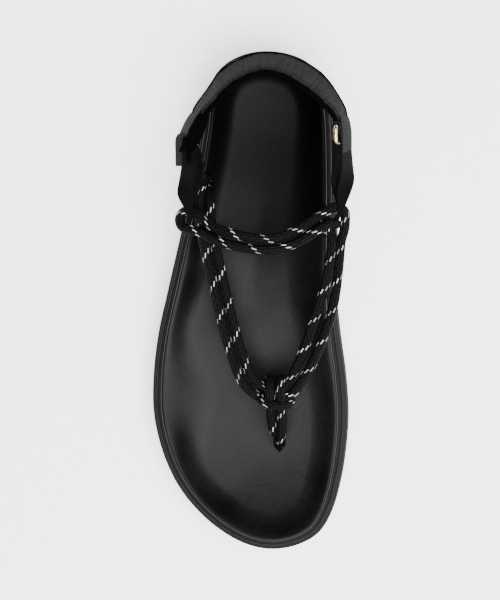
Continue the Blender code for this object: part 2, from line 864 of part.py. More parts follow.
def build_heel_strap():
    """Padded band that leans in over the heel, with a turned eye at each ring."""
    ends = []
    for ring_row in (OUTER_RING, INNER_RING):
        rear, _front, way = ring_bars(ring_row)
        ends.append(rear - way * (RING_WIRE / 2 + GAP + WEBBING_THICKNESS / 2))
        ends.append(ends[-1] - way * WEBBING_THICKNESS)
    middles = ends[:2] + [place_of(*row[:3]) for row in STRAP_ROUTE] + [ends[3], ends[2]]
    end_tall = [WEBBING_HEIGHT * 0.47] * 2
    end_thick = [WEBBING_THICKNESS] * 2
    sizes = {
        "tall": end_tall + [row[3] * STRAP_HEIGHT / 2 for row in STRAP_ROUTE] + end_tall,
        "thick": end_thick + [row[4] * STRAP_THICKNESS / 2 for row in STRAP_ROUTE] + end_thick,
        "lean": [RING_LEAN] * 2 + [row[5] for row in STRAP_ROUTE] + [RING_LEAN] * 2,
    }
    keys = list(range(len(middles)))
    steps = 2 * (len(middles) - 1)
    frames = []
    for number in range(steps + 1):
        key = number / 2
        place = Vector([read_table(keys, [m[axis] for m in middles], key) for axis in range(3)])
        after = Vector([read_table(keys, [m[axis] for m in middles], min(keys[-1], key + 0.1)) for axis in range(3)])
        before = Vector([read_table(keys, [m[axis] for m in middles], max(0, key - 0.1)) for axis in range(3)])
        along = (after - before).normalized()
        inward = Vector((0, 0, 1)).cross(along).normalized() * -1
        lean = math.radians(read_table(keys, sizes["lean"], key))
        tall = Vector((0, 0, math.cos(lean))) + inward * math.sin(lean)
        thick = inward * math.cos(lean) - Vector((0, 0, math.sin(lean)))
        frames.append(
            (
                place,
                thick * read_table(keys, sizes["thick"], key),
                tall * read_table(keys, sizes["tall"], key),
            )
        )
    strap = make_object("heel_strap", sweep(frames), "strap_textile")
    for name, ring_row in (("outer_eye", OUTER_RING), ("inner_eye", INNER_RING)):
        combine(strap, make_object(name, eye_shape(ring_row)), "UNION")
    return strap


def webbing_layer(place, along, turn, outward):
    """Normal and height directions of a band that stands on edge or lies flat."""
    side = along.cross(Vector((0, 0, 1))).normalized()
    if side.x * outward < 0:
        side = -side
    up = side.cross(along).normalized()
    if up.z < 0:
        up = -up
    angle = math.radians(turn)
    normal = side * math.cos(angle) + up * math.sin(angle)
    tall = up * math.cos(angle) - side * math.sin(angle)
    return place, along, normal, tall


def webbing_frames(rows, ring_row, eye_row):
    """A flat band looped round a ring's front bar and, turned flat, round the cord."""
    _rear, bar, way = ring_bars(ring_row)
    outward = 1 if ring_row[1] > 0 else -1
    half_thick = WEBBING_THICKNESS / 2
    bar_reach = RING_WIRE / 2 + GAP + half_thick
    along, across, rise, heading, play, width = eye_row
    eye_reach = ROPE_DIAMETER / 2 + play + half_thick
    eye_way = Vector((math.cos(math.radians(heading)), math.sin(math.radians(heading)), 0))
    places = [place_of(*row[:3]) for row in rows] + [place_of(along, across, rise)]

    layers = [(*webbing_layer(bar, way, RING_LEAN, outward), bar_reach, WEBBING_HEIGHT / 2)]
    for number, row in enumerate(rows):
        before = places[number - 1] if number else bar
        forward = (places[number + 1] - before).normalized()
        layer = webbing_layer(places[number], forward, row[5], outward)
        layers.append((*layer, row[3] * LOOP_SPREAD, row[4] * WEBBING_HEIGHT / 2))
    layers.append((*webbing_layer(places[-1], eye_way, 90, outward), eye_reach, width * WEBBING_HEIGHT / 2))

    frames = []
    for place, _forward, normal, tall, half, height in layers:
        frames.append((place + normal * half, normal * half_thick, tall * height))
    place, forward, normal, tall, half, height = layers[-1]
    for degrees in (30, 60, 90, 120, 150):
        angle = math.radians(degrees)
        out = normal * math.cos(angle) + forward * math.sin(angle)
        frames.append((place + out * half, out * half_thick, tall * height))
    for place, _forward, normal, tall, half, height in reversed(layers):
        frames.append((place - normal * half, -normal * half_thick, tall * height))
    place, forward, normal, tall, half, height = layers[0]
    for degrees in (150, 120, 90, 60, 30):
        angle = math.radians(degrees)
        out = normal * math.cos(angle) - forward * math.sin(angle)
        frames.append((place + out * half, out * half_thick, tall * height))
    return frames


def build_webbing(name, rows, ring_row, eye_row):
    frames = webbing_frames(rows, ring_row, eye_row)
    return make_object(name, sweep(frames, closed=True), "strap_textile")


def build_tab(webbing):
    """Blunt hook-and-loop end, folded forward on the outside of the outer webbing."""
    _rear, bar, way = ring_bars(OUTER_RING)
    _up, side = ring_axes(OUTER_RING)
    start = bar + side * (RING_WIRE / 2 + 2 * GAP + TAB_THICKNESS / 2)
    forward = Vector((0.02, -1, 0)).normalized()
    frames = []
    for share in (0.0, 0.25, 0.5, 0.75, 0.94, 1.0):
        thin = 0.75 if share in (0.0, 1.0) else 1.0
        bend = way.lerp(forward, min(1.0, share * 3)).normalized()
        spot = start + (way * min(share, 0.16) + forward * max(0.0, share - 0.16)) * TAB_LENGTH
        _spot, _bend, across, tall = webbing_layer(spot, bend, RING_LEAN, -1)
        height = WEBBING_HEIGHT / 2 * (0.9 if share == 1.0 else 1.0)
        frames.append((spot, across * TAB_THICKNESS / 2 * thin, tall * height))
    combine(webbing, make_object("tab", sweep(frames)), "UNION")


def main():
    clear_scene()
    build_outsole()
    build_midsole()
    build_footbed()
    build_rope_upper()
    build_ring("ring_outer", OUTER_RING)
    build_ring("ring_inner", INNER_RING)
    build_heel_strap()
    build_webbing("webbing_inner", INNER_WEBBING, INNER_RING, INNER_EYE)
    build_tab(build_webbing("webbing_outer", OUTER_WEBBING, OUTER_RING, OUTER_EYE))


main()
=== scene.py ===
"""Looks of a rope thong sandal for the right foot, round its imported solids.

Metres, +Z up, +X the big toe side, -Y the toe. Lengths along the sole are shares of it
from the back of the heel, sideways ones are shares of the ball width, and heights of the
upper are shares of the height of its loops.
"""

import logging
import math
from collections.abc import Callable, Sequence
from dataclasses import dataclass
from enum import Enum

import bmesh
import bpy
from mathutils import Matrix, Vector


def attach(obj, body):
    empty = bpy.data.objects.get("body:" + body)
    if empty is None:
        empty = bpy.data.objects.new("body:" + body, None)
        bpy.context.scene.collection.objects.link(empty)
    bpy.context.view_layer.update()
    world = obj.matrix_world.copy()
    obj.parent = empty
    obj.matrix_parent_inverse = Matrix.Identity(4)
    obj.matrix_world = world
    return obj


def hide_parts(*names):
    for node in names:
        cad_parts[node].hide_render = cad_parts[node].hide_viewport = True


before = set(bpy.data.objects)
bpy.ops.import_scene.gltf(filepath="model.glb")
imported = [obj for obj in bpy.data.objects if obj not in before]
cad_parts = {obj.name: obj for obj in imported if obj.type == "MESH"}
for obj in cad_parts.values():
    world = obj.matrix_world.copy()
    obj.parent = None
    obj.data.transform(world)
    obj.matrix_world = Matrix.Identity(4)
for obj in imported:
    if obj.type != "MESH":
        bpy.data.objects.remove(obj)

Colour = tuple[float, float, float]
Row = tuple[float, ...]
Level = Callable[[float, float], float]
Frame = tuple[Vector, Vector, Vector]
Piece = bpy.types.Object
Socket = bpy.types.NodeSocket

UP = Vector((0, 0, 1))
# Places round the end of a cord or band that turns back on itself
TURN_DEGREES = (30, 60, 90, 120, 150)
# Steps of a curve between two of the points that it passes
CURVE_PARTS = 16

log = logging.getLogger("sandal")


class Side(Enum):
    """The two sides of the shoe, as the sign of X."""

    INNER = 1
    OUTER = -1


class Coordinates(Enum):
    """Where a finish reads its pattern from."""

    OBJECT = "Object"
    UV = "UV"


# Numbers and curves


def smooth_step(value: float, start: float, end: float) -> float:
    """Rise smoothly from 0 at start to 1 at end."""
    share = min(1.0, max(0.0, (value - start) / (end - start)))
    return share * share * (3 - 2 * share)


def hump(value: float, middle: float, span: float) -> float:
    """Smooth bump of height 1 that ends one span from its middle."""
    distance = abs(value - middle) / span
    return 0.0 if distance >= 1 else math.cos(distance * math.pi / 2) ** 2


def read_table(keys: Sequence[float], values: Sequence[float], key: float) -> float:
    """Read a table between its rows.

    Args:
        keys: The rows' keys, rising.
        values: The rows' values.
        key: Where to read.

    Returns:
        A cubic through the values, with slopes from the neighbouring rows.
    """
    last = len(keys) - 1
    low = 0
    while low < last - 1 and key > keys[low + 1]:
        low += 1

    def slope(row: int) -> float:
        """Slope of the table at a row."""
        before = max(0, row - 1)
        after = min(last, row + 1)
        return (values[after] - values[before]) / (keys[after] - keys[before])

    width = keys[low + 1] - keys[low]
    share = min(1.0, max(0.0, (key - keys[low]) / width))
    square = share * share
    cube = square * share
    return (
        (2 * cube - 3 * square + 1) * values[low]
        + (cube - 2 * square + share) * width * slope(low)
        + (3 * square - 2 * cube) * values[low + 1]
        + (cube - square) * width * slope(low + 1)
    )


def direction(degrees: float) -> Vector:
    """Level direction at an angle from +X."""
    angle = math.radians(degrees)
    return Vector((math.cos(angle), math.sin(angle), 0))


def neighbours(items: Sequence, number: int, closed: bool = False) -> list:
    """The two ends of a stretch, with the item before it and the item after it.

    Args:
        items: Places or frames in order.
        number: The stretch's first item.
        closed: Whether the last item is followed by the first.

    Returns:
        The four items, with an end repeated where there is nothing beyond it.
    """
    last = len(items) - 1
    numbers = [number + step for step in (-1, 0, 1, 2)]
    if closed:
        return [items[place % len(items)] for place in numbers]
    return [items[min(last, max(0, place))] for place in numbers]


def curve_point(before: Vector, start: Vector, end: Vector, after: Vector, share: float) -> Vector:
    """Point of a smooth curve, a share of the way from start to end."""
    return 0.5 * (
        2 * start
        + (end - before) * share
        + (2 * before - 5 * start + 4 * end - after) * share * share
        + (3 * start - before - 3 * end + after) * share * share * share
    )


def smooth_line(points: Sequence[Vector], spacing: float) -> list[Vector]:
    """Lay points at an even spacing on a smooth curve.

    Args:
        points: The points that the curve passes.
        spacing: The distance to keep, in metres.

    Returns:
        The points on the curve, with its two ends.
    """
    fine: list[Vector] = []
    for number in range(len(points) - 1):
        picked = neighbours(points, number)
        fine += [curve_point(*picked, part / CURVE_PARTS) for part in range(CURVE_PARTS)]
    fine.append(points[-1])
    length = sum((b - a).length for a, b in zip(fine, fine[1:]))
    count = max(2, round(length / spacing))
    result = [fine[0]]
    travelled = 0.0
    for start, end in zip(fine, fine[1:]):
        piece = (end - start).length
        while len(result) < count and travelled + piece >= length * len(result) / count:
            share = (length * len(result) / count - travelled) / piece
            result.append(start.lerp(end, share))
        travelled += piece
    result.append(fine[-1])
    return result


# Finishes


class Graph:
    """Short calls for the nodes of one material."""

    def __init__(self, material: bpy.types.Material, coordinates: Coordinates) -> None:
        """Start from the material's own shader.

        Args:
            material: The material that gets the nodes.
            coordinates: Where its pattern is read from.
        """
        self.tree = material.node_tree
        self.shader = self.tree.nodes["Principled BSDF"]
        source = self.tree.nodes.new("ShaderNodeTexCoord")
        self.place = source.outputs[coordinates.value]

    def plug(self, value: object, socket: Socket) -> None:
        """Link a socket, or set a plain value."""
        if isinstance(value, Socket):
            self.tree.links.new(value, socket)
        else:
            socket.default_value = value

    def give(self, name: str, value: object) -> None:
        """Link or set one input of the shader."""
        self.plug(value, self.shader.inputs[name])

    def calc(self, operation: str, *values: object) -> Socket:
        """Combine numbers with a Math node.

        Args:
            operation: The Math node's operation.
            *values: Its inputs, sockets or numbers.

        Returns:
            The result's socket.
        """
        node = self.tree.nodes.new("ShaderNodeMath")
        node.operation = operation
        for value, socket in zip(values, node.inputs):
            self.plug(value, socket)
        return node.outputs[0]

    def times(self, first: object, second: object) -> Socket:
        """Multiply two numbers."""
        return self.calc("MULTIPLY", first, second)

    def split(self, vector: object = None) -> tuple[Socket, Socket, Socket]:
        """The three parts of the coordinates, or of another vector."""
        node = self.tree.nodes.new("ShaderNodeSeparateXYZ")
        self.plug(vector or self.place, node.inputs[0])
        return node.outputs[0], node.outputs[1], node.outputs[2]

    def own_place(self) -> Socket:
        """Object coordinates, also where the pattern follows a UV map."""
        return self.tree.nodes.new("ShaderNodeTexCoord").outputs["Object"]

    def noise(self, scale: float, detail: float = 3.0, vector: object = None) -> Socket:
        """Cloudy values of a given fineness.

        Args:
            scale: Clouds to a metre.
            detail: Octaves.
            vector: Coordinates other than the usual ones.

        Returns:
            The values' socket, from 0 to 1.
        """
        node = self.tree.nodes.new("ShaderNodeTexNoise")
        node.inputs["Scale"].default_value = scale
        node.inputs["Detail"].default_value = detail
        self.plug(vector or self.place, node.inputs["Vector"])
        return node.outputs["Fac"]

    def cells(self, scale: float) -> Socket:
        """Distance to the nearest of many scattered points.

        Args:
            scale: Points to a metre.

        Returns:
            The distance's socket.
        """
        node = self.tree.nodes.new("ShaderNodeTexVoronoi")
        node.feature = "SMOOTH_F1"
        node.inputs["Scale"].default_value = scale
        self.plug(self.place, node.inputs["Vector"])
        return node.outputs["Distance"]

    def span(self, value: object, low: float, high: float, start: float, end: float) -> Socket:
        """Map a range of values to another, smoothly, and hold its ends.

        Args:
            value: The value.
            low: Where the range starts.
            high: Where it ends.
            start: The result at low.
            end: The result at high.

        Returns:
            The result's socket.
        """
        node = self.tree.nodes.new("ShaderNodeMapRange")
        node.interpolation_type = "SMOOTHSTEP"
        for number, item in enumerate((value, low, high, start, end)):
            self.plug(item, node.inputs[number])
        return node.outputs[0]

    def blend(self, share: object, first: object, second: object) -> Socket:
        """Mix two colours.

        Args:
            share: How much of the second.
            first: A colour or its socket.
            second: Another.

        Returns:
            The mixed colour's socket.
        """
        node = self.tree.nodes.new("ShaderNodeMix")
        node.data_type = "RGBA"
        self.plug(share, node.inputs[0])
        for item, socket in ((first, node.inputs[6]), (second, node.inputs[7])):
            self.plug((*item, 1.0) if isinstance(item, tuple) else item, socket)
        return node.outputs[2]

    def relief(self, height: object, distance: float, strength: float = 1.0) -> None:
        """Raise the surface by a height, over what is raised already.

        Args:
            height: The height's socket.
            distance: What a height of 1 stands for, in metres.
            strength: How strongly it shows.
        """
        node = self.tree.nodes.new("ShaderNodeBump")
        node.inputs["Strength"].default_value = strength
        node.inputs["Distance"].default_value = distance
        self.plug(height, node.inputs["Height"])
        normal = self.shader.inputs["Normal"]
        if normal.is_linked:
            self.plug(normal.links[0].from_socket, node.inputs["Normal"])
        self.plug(node.outputs[0], normal)


@dataclass(frozen=True)
class Finish:
    """What every finish has."""

    name: str
    colour: Colour
    roughness: float
    metallic: float = 0.0
    specular: float = 0.5
    coordinates: Coordinates = Coordinates.OBJECT

    def material(self) -> bpy.types.Material:
        """The finish as a material, made on first use."""
        found = bpy.data.materials.get(self.name)
        if found:
            return found
        material = bpy.data.materials.new(self.name)
        material.use_nodes = True
        graph = Graph(material, self.coordinates)
        graph.give("Base Color", (*self.colour, 1.0))
        graph.give("Roughness", self.roughness)
        graph.give("Metallic", self.metallic)
        graph.give("Specular IOR Level", self.specular)
        self.dress(graph)
        return material

    def shade(self, factor: float) -> Colour:
        """The finish's colour, darker or lighter."""
        return tuple(value * factor for value in self.colour)

    def dress(self, graph: Graph) -> None:
        """Add this finish's own nodes."""


@dataclass(frozen=True)
class Leather(Finish):
    """Smooth dyed leather with a fine grain and a soft sheen."""

    grain: float = 1500.0
    depth: float = 0.00004
    heel_start: float = -0.105
    heel_end: float = 0.010
    painted_heel_shade: float = 0.34
    dark_shade: float = 0.55
    light_shade: float = 1.9
    ball_sheen: float = 0.632
    heel_sheen: float = 0.296

    def dress(self, graph: Graph) -> None:
        """Fine pores, broad unevenness, colour painted darker towards the heel as shade, and a sheen that
        fades towards the heel.
        """
        _across, along, _up = graph.split()
        painted_heel_shade_share = graph.span(along, self.heel_start, self.heel_end, 0.0, 1.0)
        clouds = graph.noise(24.0, 5.0)
        mottle = graph.span(graph.noise(700.0, 5.0), 0.35, 0.65, 0.0, 1.0)
        pores = graph.cells(self.grain)
        dark = self.shade(self.dark_shade)
        light = self.shade(self.light_shade)
        patches = graph.blend(graph.span(clouds, 0.32, 0.68, 0.0, 1.0), dark, light)
        patches = graph.blend(graph.times(mottle, 0.45), patches, dark)
        # Painted shade: the colour darkens towards the heel.
        graph.give("Base Color", graph.blend(painted_heel_shade_share, patches, self.shade(self.painted_heel_shade)))
        ends = (self.specular * self.ball_sheen, self.specular * self.heel_sheen)
        sheen = graph.span(painted_heel_shade_share, 0.0, 1.0, *ends)
        sheen = graph.times(sheen, graph.span(clouds, 0.3, 0.7, 0.88, 1.12))
        graph.give("Specular IOR Level", sheen)
        rough = graph.span(clouds, 0.3, 0.7, self.roughness - 0.04, self.roughness + 0.05)
        graph.give("Roughness", rough)
        graph.relief(graph.noise(420.0, 3.0), 0.00016, 0.5)
        graph.relief(pores, self.depth, 0.7)


@dataclass(frozen=True)
class Foam(Finish):
    """Moulded foam or rubber with a fine even texture."""

    grain: float = 1100.0
    depth: float = 0.00005
    worn_shade: float = 1.7
    painted_top_highlight: Colour = (0.0105, 0.0105, 0.0108)

    def dress(self, graph: Graph) -> None:
        """Fine pits, worn patches, and a painted highlight: paler colour on what faces up."""
        geometry = graph.tree.nodes.new("ShaderNodeNewGeometry")
        _x, _y, painted_top_share = graph.split(geometry.outputs["Normal"])
        painted_top_share = graph.span(painted_top_share, 0.86, 0.99, 0.0, 1.0)
        body = graph.blend(graph.noise(55.0, 3.0), self.colour, self.shade(self.worn_shade))
        # Painted highlight: faces that point up get the paler colour.
        graph.give("Base Color", graph.blend(painted_top_share, body, self.painted_top_highlight))
        graph.relief(graph.noise(self.grain, 4.0), self.depth, 0.7)


@dataclass(frozen=True)
class Braid(Finish):
    """Braided cord with pale tracer yarns that wind round it in short dashes."""

    coordinates: Coordinates = Coordinates.UV
    girth: float = 0.0157
    pitch: float = 0.016
    spacing: float = 0.00213
    dash_length: float = 0.0027
    dash_width: float = 0.00060
    columns: int = 10
    float_length: float = 0.0046
    dash_slant: float = -0.27
    float_crown_highlight: float = 6.5
    tracer: Colour = (0.46, 0.47, 0.51)

    def dashes(self, graph: Graph) -> tuple[Socket, Socket]:
        """Where the tracer yarns lie.

        Args:
            graph: The material's nodes.

        Returns:
            The dashes' mask, and a number for each dash.
        """
        around, along, _ = graph.split()
        turns = graph.calc("DIVIDE", along, self.pitch)
        turn = graph.calc("ROUND", graph.calc("SUBTRACT", turns, around))
        on_helix = graph.times(graph.calc("ADD", around, turn), self.pitch)
        number = graph.calc("ROUND", graph.calc("DIVIDE", on_helix, self.spacing))
        middle = graph.times(number, self.spacing)
        ahead = graph.calc("SUBTRACT", along, middle)
        aside = graph.times(graph.calc("SUBTRACT", on_helix, middle), self.girth / self.pitch)
        aside = graph.calc("ABSOLUTE", graph.calc("MULTIPLY_ADD", ahead, self.dash_slant, aside))
        half = self.dash_width / 2
        narrow = graph.span(aside, half * 0.75, half * 1.1, 1.0, 0.0)
        reach = self.dash_length / 2
        short = graph.span(graph.calc("ABSOLUTE", ahead), reach * 0.86, reach, 1.0, 0.0)
        return graph.times(narrow, short), number

    def floats(self, graph: Graph) -> tuple[Socket, Socket]:
        """The dark yarn floats that the cord is braided from.

        Args:
            graph: The material's nodes.

        Returns:
            Their height, and the lines between their threads.
        """
        around, along, _ = graph.split()
        column = graph.times(around, self.columns)
        index = graph.calc("FLOOR", column)
        across = graph.calc("SUBTRACT", graph.calc("FRACT", column), 0.5)
        steps = graph.calc("DIVIDE", along, self.float_length)
        shifted_steps = graph.calc("MULTIPLY_ADD", index, 0.5, steps)
        length = graph.calc("SUBTRACT", graph.calc("FRACT", shifted_steps), 0.5)
        from_middle = graph.calc("ABSOLUTE", graph.times(across, 2.0))
        round_back = graph.calc("SUBTRACT", 1.0, graph.calc("POWER", from_middle, 2.0))
        ends = graph.span(graph.calc("ABSOLUTE", length), 0.30, 0.5, 1.0, 0.0)
        height = graph.times(round_back, graph.calc("MULTIPLY_ADD", ends, 0.7, 0.3))
        thread = graph.calc("FRACT", graph.times(around, self.columns * 4.0))
        return height, graph.span(thread, 0.0, 0.35, 0.75, 1.0)

    def dress(self, graph: Graph) -> None:
        """Rows of dark yarn floats, painted lighter on their crowns as highlight and darker at their edges
        and ends as shade, with the tracers over them.
        """
        height, threads = self.floats(graph)
        mask, number = self.dashes(graph)
        chance = graph.tree.nodes.new("ShaderNodeTexWhiteNoise")
        chance.noise_dimensions = "1D"
        graph.plug(number, chance.inputs["W"])
        strength = graph.span(chance.outputs["Value"], 0.0, 0.7, 0.40, 1.0)
        shown = graph.times(graph.times(mask, strength), threads)
        # Painted highlight and shade: each float is lighter where it is high and darker where it dips.
        dark = graph.blend(height, self.colour, self.shade(self.float_crown_highlight))
        graph.give("Base Color", graph.blend(shown, dark, self.tracer))
        graph.relief(height, 0.00045, 0.9)
        graph.relief(mask, 0.00012, 0.6)
        graph.relief(graph.noise(4200.0, 2.0, graph.own_place()), 0.00003, 0.6)


@dataclass(frozen=True)
class Ribbed(Finish):
    """Textile with fine ribs across its length."""

    coordinates: Coordinates = Coordinates.UV
    rib: float = 0.0007
    cross: float = 0.0011
    depth: float = 0.00010
    rib_highlight_and_dye: float = 2.2
    wrinkle: float = 0.0

    def dress(self, graph: Graph) -> None:
        """Ribs, the weft between them, uneven dye and folds; the colour is painted lighter on the crowns of
        the ribs and weft as highlight, and darker in the folds as shade.
        """
        across, along, _ = graph.split()
        ribs = graph.calc("SINE", graph.times(along, 2 * math.pi / self.rib))
        weft = graph.calc("SINE", graph.times(across, 2 * math.pi / self.cross))
        height = graph.calc("MULTIPLY_ADD", ribs, 0.35, graph.calc("MULTIPLY_ADD", weft, 0.15, 0.5))
        place = graph.own_place()
        share = graph.times(height, graph.noise(160.0, 4.0, place))
        # Painted shade: the colour goes dark in the troughs of the folds.
        if self.wrinkle:
            share = graph.times(share, graph.span(self.folds(graph), 0.38, 0.56, 0.0, 1.25))
        # The lighter colour is painted highlight on the rib crowns, and the light patches of uneven dye.
        graph.give("Base Color", graph.blend(share, self.colour, self.shade(self.rib_highlight_and_dye)))
        graph.relief(height, self.depth, 0.8)
        graph.relief(graph.noise(2600.0, 2.0, place), 0.00004, 0.5)
        if self.wrinkle:
            graph.relief(self.folds(graph), self.wrinkle, 1.0)

    def folds(self, graph: Graph) -> Socket:
        """Long soft folds across the band, for the bump and for painted shade in the colour.

        Args:
            graph: The material's nodes.

        Returns:
            The folds' height.
        """
        stretched = graph.tree.nodes.new("ShaderNodeMapping")
        stretched.inputs["Scale"].default_value = (80.0, 780.0, 1.0)
        stretched.inputs["Rotation"].default_value = (0.0, 0.0, 0.20)
        graph.plug(graph.place, stretched.inputs["Vector"])
        return graph.noise(1.0, 2.0, stretched.outputs[0])


@dataclass(frozen=True)
class Pile(Finish):
    """Dark lining with a short rough pile."""

    tuft_shade: float = 3.0

    def dress(self, graph: Graph) -> None:
        """Coarse and fine tufts."""
        tufts = graph.noise(1300.0, 4.0)
        share = graph.span(tufts, 0.45, 0.75, 0.0, 1.0)
        graph.give("Base Color", graph.blend(share, self.colour, self.shade(self.tuft_shade)))
        graph.relief(tufts, 0.0004, 0.8)


@dataclass(frozen=True)
class Plate(Finish):
    """Polished metal plating with faint handling marks."""

    def dress(self, graph: Graph) -> None:
        """Roughness that varies a little."""
        marks = graph.noise(700.0, 4.0)
        rough = graph.span(marks, 0.35, 0.65, self.roughness - 0.06, self.roughness + 0.10)
        graph.give("Roughness", rough)


@dataclass(frozen=True)
class Backdrop(Finish):
    """Pale paper sweep, lit through from behind so that it stays even."""

    glow: float = 1.3

    def dress(self, graph: Graph) -> None:
        """A constant glow."""
        graph.give("Emission Color", (1.0, 1.0, 1.0, 1.0))
        graph.give("Emission Strength", self.glow)


LEATHER = Leather("satin_black_leather", (0.0034, 0.0033, 0.0032), 0.40, specular=0.125)
FOAM = Foam("matte_black_foam", (0.0016, 0.0016, 0.0017), 0.58, specular=0.05)
RUBBER = Foam("black_rubber", (0.0016, 0.0016, 0.0016), 0.70, specular=0.04, grain=800.0)
BRAID = Braid("black_braid_with_tracers", (0.0007, 0.0007, 0.0008), 0.64, specular=0.04)
STRAP_FACE = Ribbed(
    "ribbed_strap_face",
    (0.0034, 0.0033, 0.0032),
    0.80,
    specular=0.10,
    rib_highlight_and_dye=4.8,
    wrinkle=0.0011,
)
WEBBING = Ribbed(
    "black_webbing",
    (0.0011, 0.0011, 0.0012),
    0.85,
    specular=0.05,
    rib=0.0010,
    cross=0.0006,
)
LINING = Pile("black_lining", (0.0005, 0.0005, 0.0006), 0.95, specular=0.02)
GOLD = Plate("gold_plating", (0.83, 0.64, 0.36), 0.24, metallic=1.0)


# Modelling in edit mode


def deselect() -> None:
    """Leave nothing selected before a new primitive is added."""
    if bpy.context.mode != "OBJECT":
        bpy.ops.object.mode_set(mode="OBJECT")
    bpy.ops.object.select_all(action="DESELECT")


class Loft:
    """Draws a ring of points out into a skin, one extrusion at a time."""

    def __init__(self, name: str, ring: Sequence[Vector]) -> None:
        """Add a circle and shape it as the first ring.

        Args:
            name: The piece's name.
            ring: The first ring's points.
        """
        deselect()
        bpy.ops.mesh.primitive_circle_add(vertices=len(ring), radius=0.01)
        self.piece = bpy.context.object
        self.piece.name = name
        self.piece.data.name = name
        self.count = len(ring)
        self.rows = 0
        bpy.ops.object.mode_set(mode="EDIT")
        bpy.ops.mesh.select_all(action="SELECT")
        mesh = bmesh.from_edit_mesh(self.piece.data)
        order = mesh.verts.layers.int.new("order")
        mesh.verts.layers.int.new("row")
        mesh.verts.ensure_lookup_table()
        for number, corner in enumerate(mesh.verts):
            corner[order] = number
        self.shape(ring)

    def shape(self, ring: Sequence[Vector]) -> None:
        """Move the selected loop onto a ring of points.

        Args:
            ring: Where its points go.
        """
        mesh = bmesh.from_edit_mesh(self.piece.data)
        order = mesh.verts.layers.int["order"]
        row = mesh.verts.layers.int["row"]
        for corner in mesh.verts:
            if corner.select:
                corner.co = ring[corner[order]]
                corner[row] = self.rows
        self.rows += 1
        bmesh.update_edit_mesh(self.piece.data)

    def draw_to(self, ring: Sequence[Vector]) -> None:
        """Extrude the open loop and shape the new one."""
        bpy.ops.mesh.extrude_edges_move()
        self.shape(ring)

    def cap_ends(self) -> None:
        """Close the first and the last loop."""
        for wanted in (self.rows - 1, 0):
            bpy.ops.mesh.select_all(action="DESELECT")
            mesh = bmesh.from_edit_mesh(self.piece.data)
            row = mesh.verts.layers.int["row"]
            for corner in mesh.verts:
                corner.select = corner[row] == wanted
            mesh.select_flush(True)
            bmesh.update_edit_mesh(self.piece.data)
            bpy.ops.mesh.edge_face_add()

    def unwrap(self, around: Sequence[float], along: Sequence[float]) -> None:
        """Give the skin a UV map.

        Args:
            around: One value for each point of a ring, and one more for its close.
            along: One value for each ring.
        """
        mesh = bmesh.from_edit_mesh(self.piece.data)
        layer = mesh.loops.layers.uv.verify()
        order = mesh.verts.layers.int["order"]
        row = mesh.verts.layers.int["row"]
        for face in mesh.faces:
            numbers = [loop.vert[order] for loop in face.loops]
            over_seam = max(numbers) - min(numbers) > 1
            for loop, number in zip(face.loops, numbers):
                place = self.count if over_seam and number == 0 and len(numbers) == 4 else number
                loop[layer].uv = (around[place], along[loop.vert[row]])
        bmesh.update_edit_mesh(self.piece.data)

    def finish(self, sharp: float = 40.0) -> Piece:
        """Close seams, turn faces outwards and shade.

        Args:
            sharp: Edges sharper than this, in degrees, stay sharp.

        Returns:
            The finished piece.
        """
        bpy.ops.mesh.select_all(action="SELECT")
        bpy.ops.mesh.remove_doubles(threshold=2e-6)
        bpy.ops.mesh.dissolve_degenerate(threshold=1e-7)
        bpy.ops.mesh.select_all(action="SELECT")
        bpy.ops.mesh.normals_make_consistent(inside=False)
        bpy.ops.object.mode_set(mode="OBJECT")
        bpy.ops.object.shade_smooth_by_angle(angle=math.radians(sharp))
        return self.piece


def loft(
    name: str,
    rings: Sequence[Sequence[Vector]],
    around: Sequence[float],
    along: Sequence[float],
    capped: bool = False,
    sharp: float = 40.0,
) -> Piece:
    """Draw a skin through rings.

    Args:
        name: The piece's name.
        rings: Rings with the same number of points.
        around: UV value of each point of a ring, and one more.
        along: UV value of each ring.
        capped: Whether both ends get a face.
        sharp: Edges sharper than this, in degrees, stay sharp.

    Returns:
        The piece.
    """
    skin = Loft(name, rings[0])
    for ring in rings[1:]:
        skin.draw_to(ring)
    if capped:
        skin.cap_ends()
    skin.unwrap(around, along)
    return skin.finish(sharp)


def join(name: str, pieces: Sequence[Piece]) -> Piece:
    """Join pieces into the first one.

    Args:
        name: Its name afterwards.
        pieces: What is joined.

    Returns:
        The first piece.
    """
    deselect()
    for piece in pieces:
        piece.select_set(True)
    bpy.context.view_layer.objects.active = pieces[0]
    if len(pieces) > 1:
        bpy.ops.object.join()
    pieces[0].name = name
    pieces[0].data.name = name
    return pieces[0]


def dressed(piece: Piece, finish: Finish) -> Piece:
    """Add a finish to a piece."""
    piece.data.materials.append(finish.material())
    return piece


def settle(piece: Piece, finish: Finish, slot: str, *nodes: str) -> Piece:
    """Dress a piece and tie it to the frame.

    Args:
        piece: The piece.
        finish: Its finish, given where it has no material yet.
        slot: Not used.
        *nodes: The solids that it stands for.

    Returns:
        The piece.
    """
    if not piece.data.materials:
        dressed(piece, finish)
    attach(piece, "root")
    if nodes:
        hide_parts(*nodes)
    log.info("%s: %d faces", piece.name, len(piece.data.polygons))
    return piece


# The sole


def lifted(level: Level, lift: float) -> Level:
    """A level, raised by an amount."""
    return lambda station, side: level(station, side) + lift


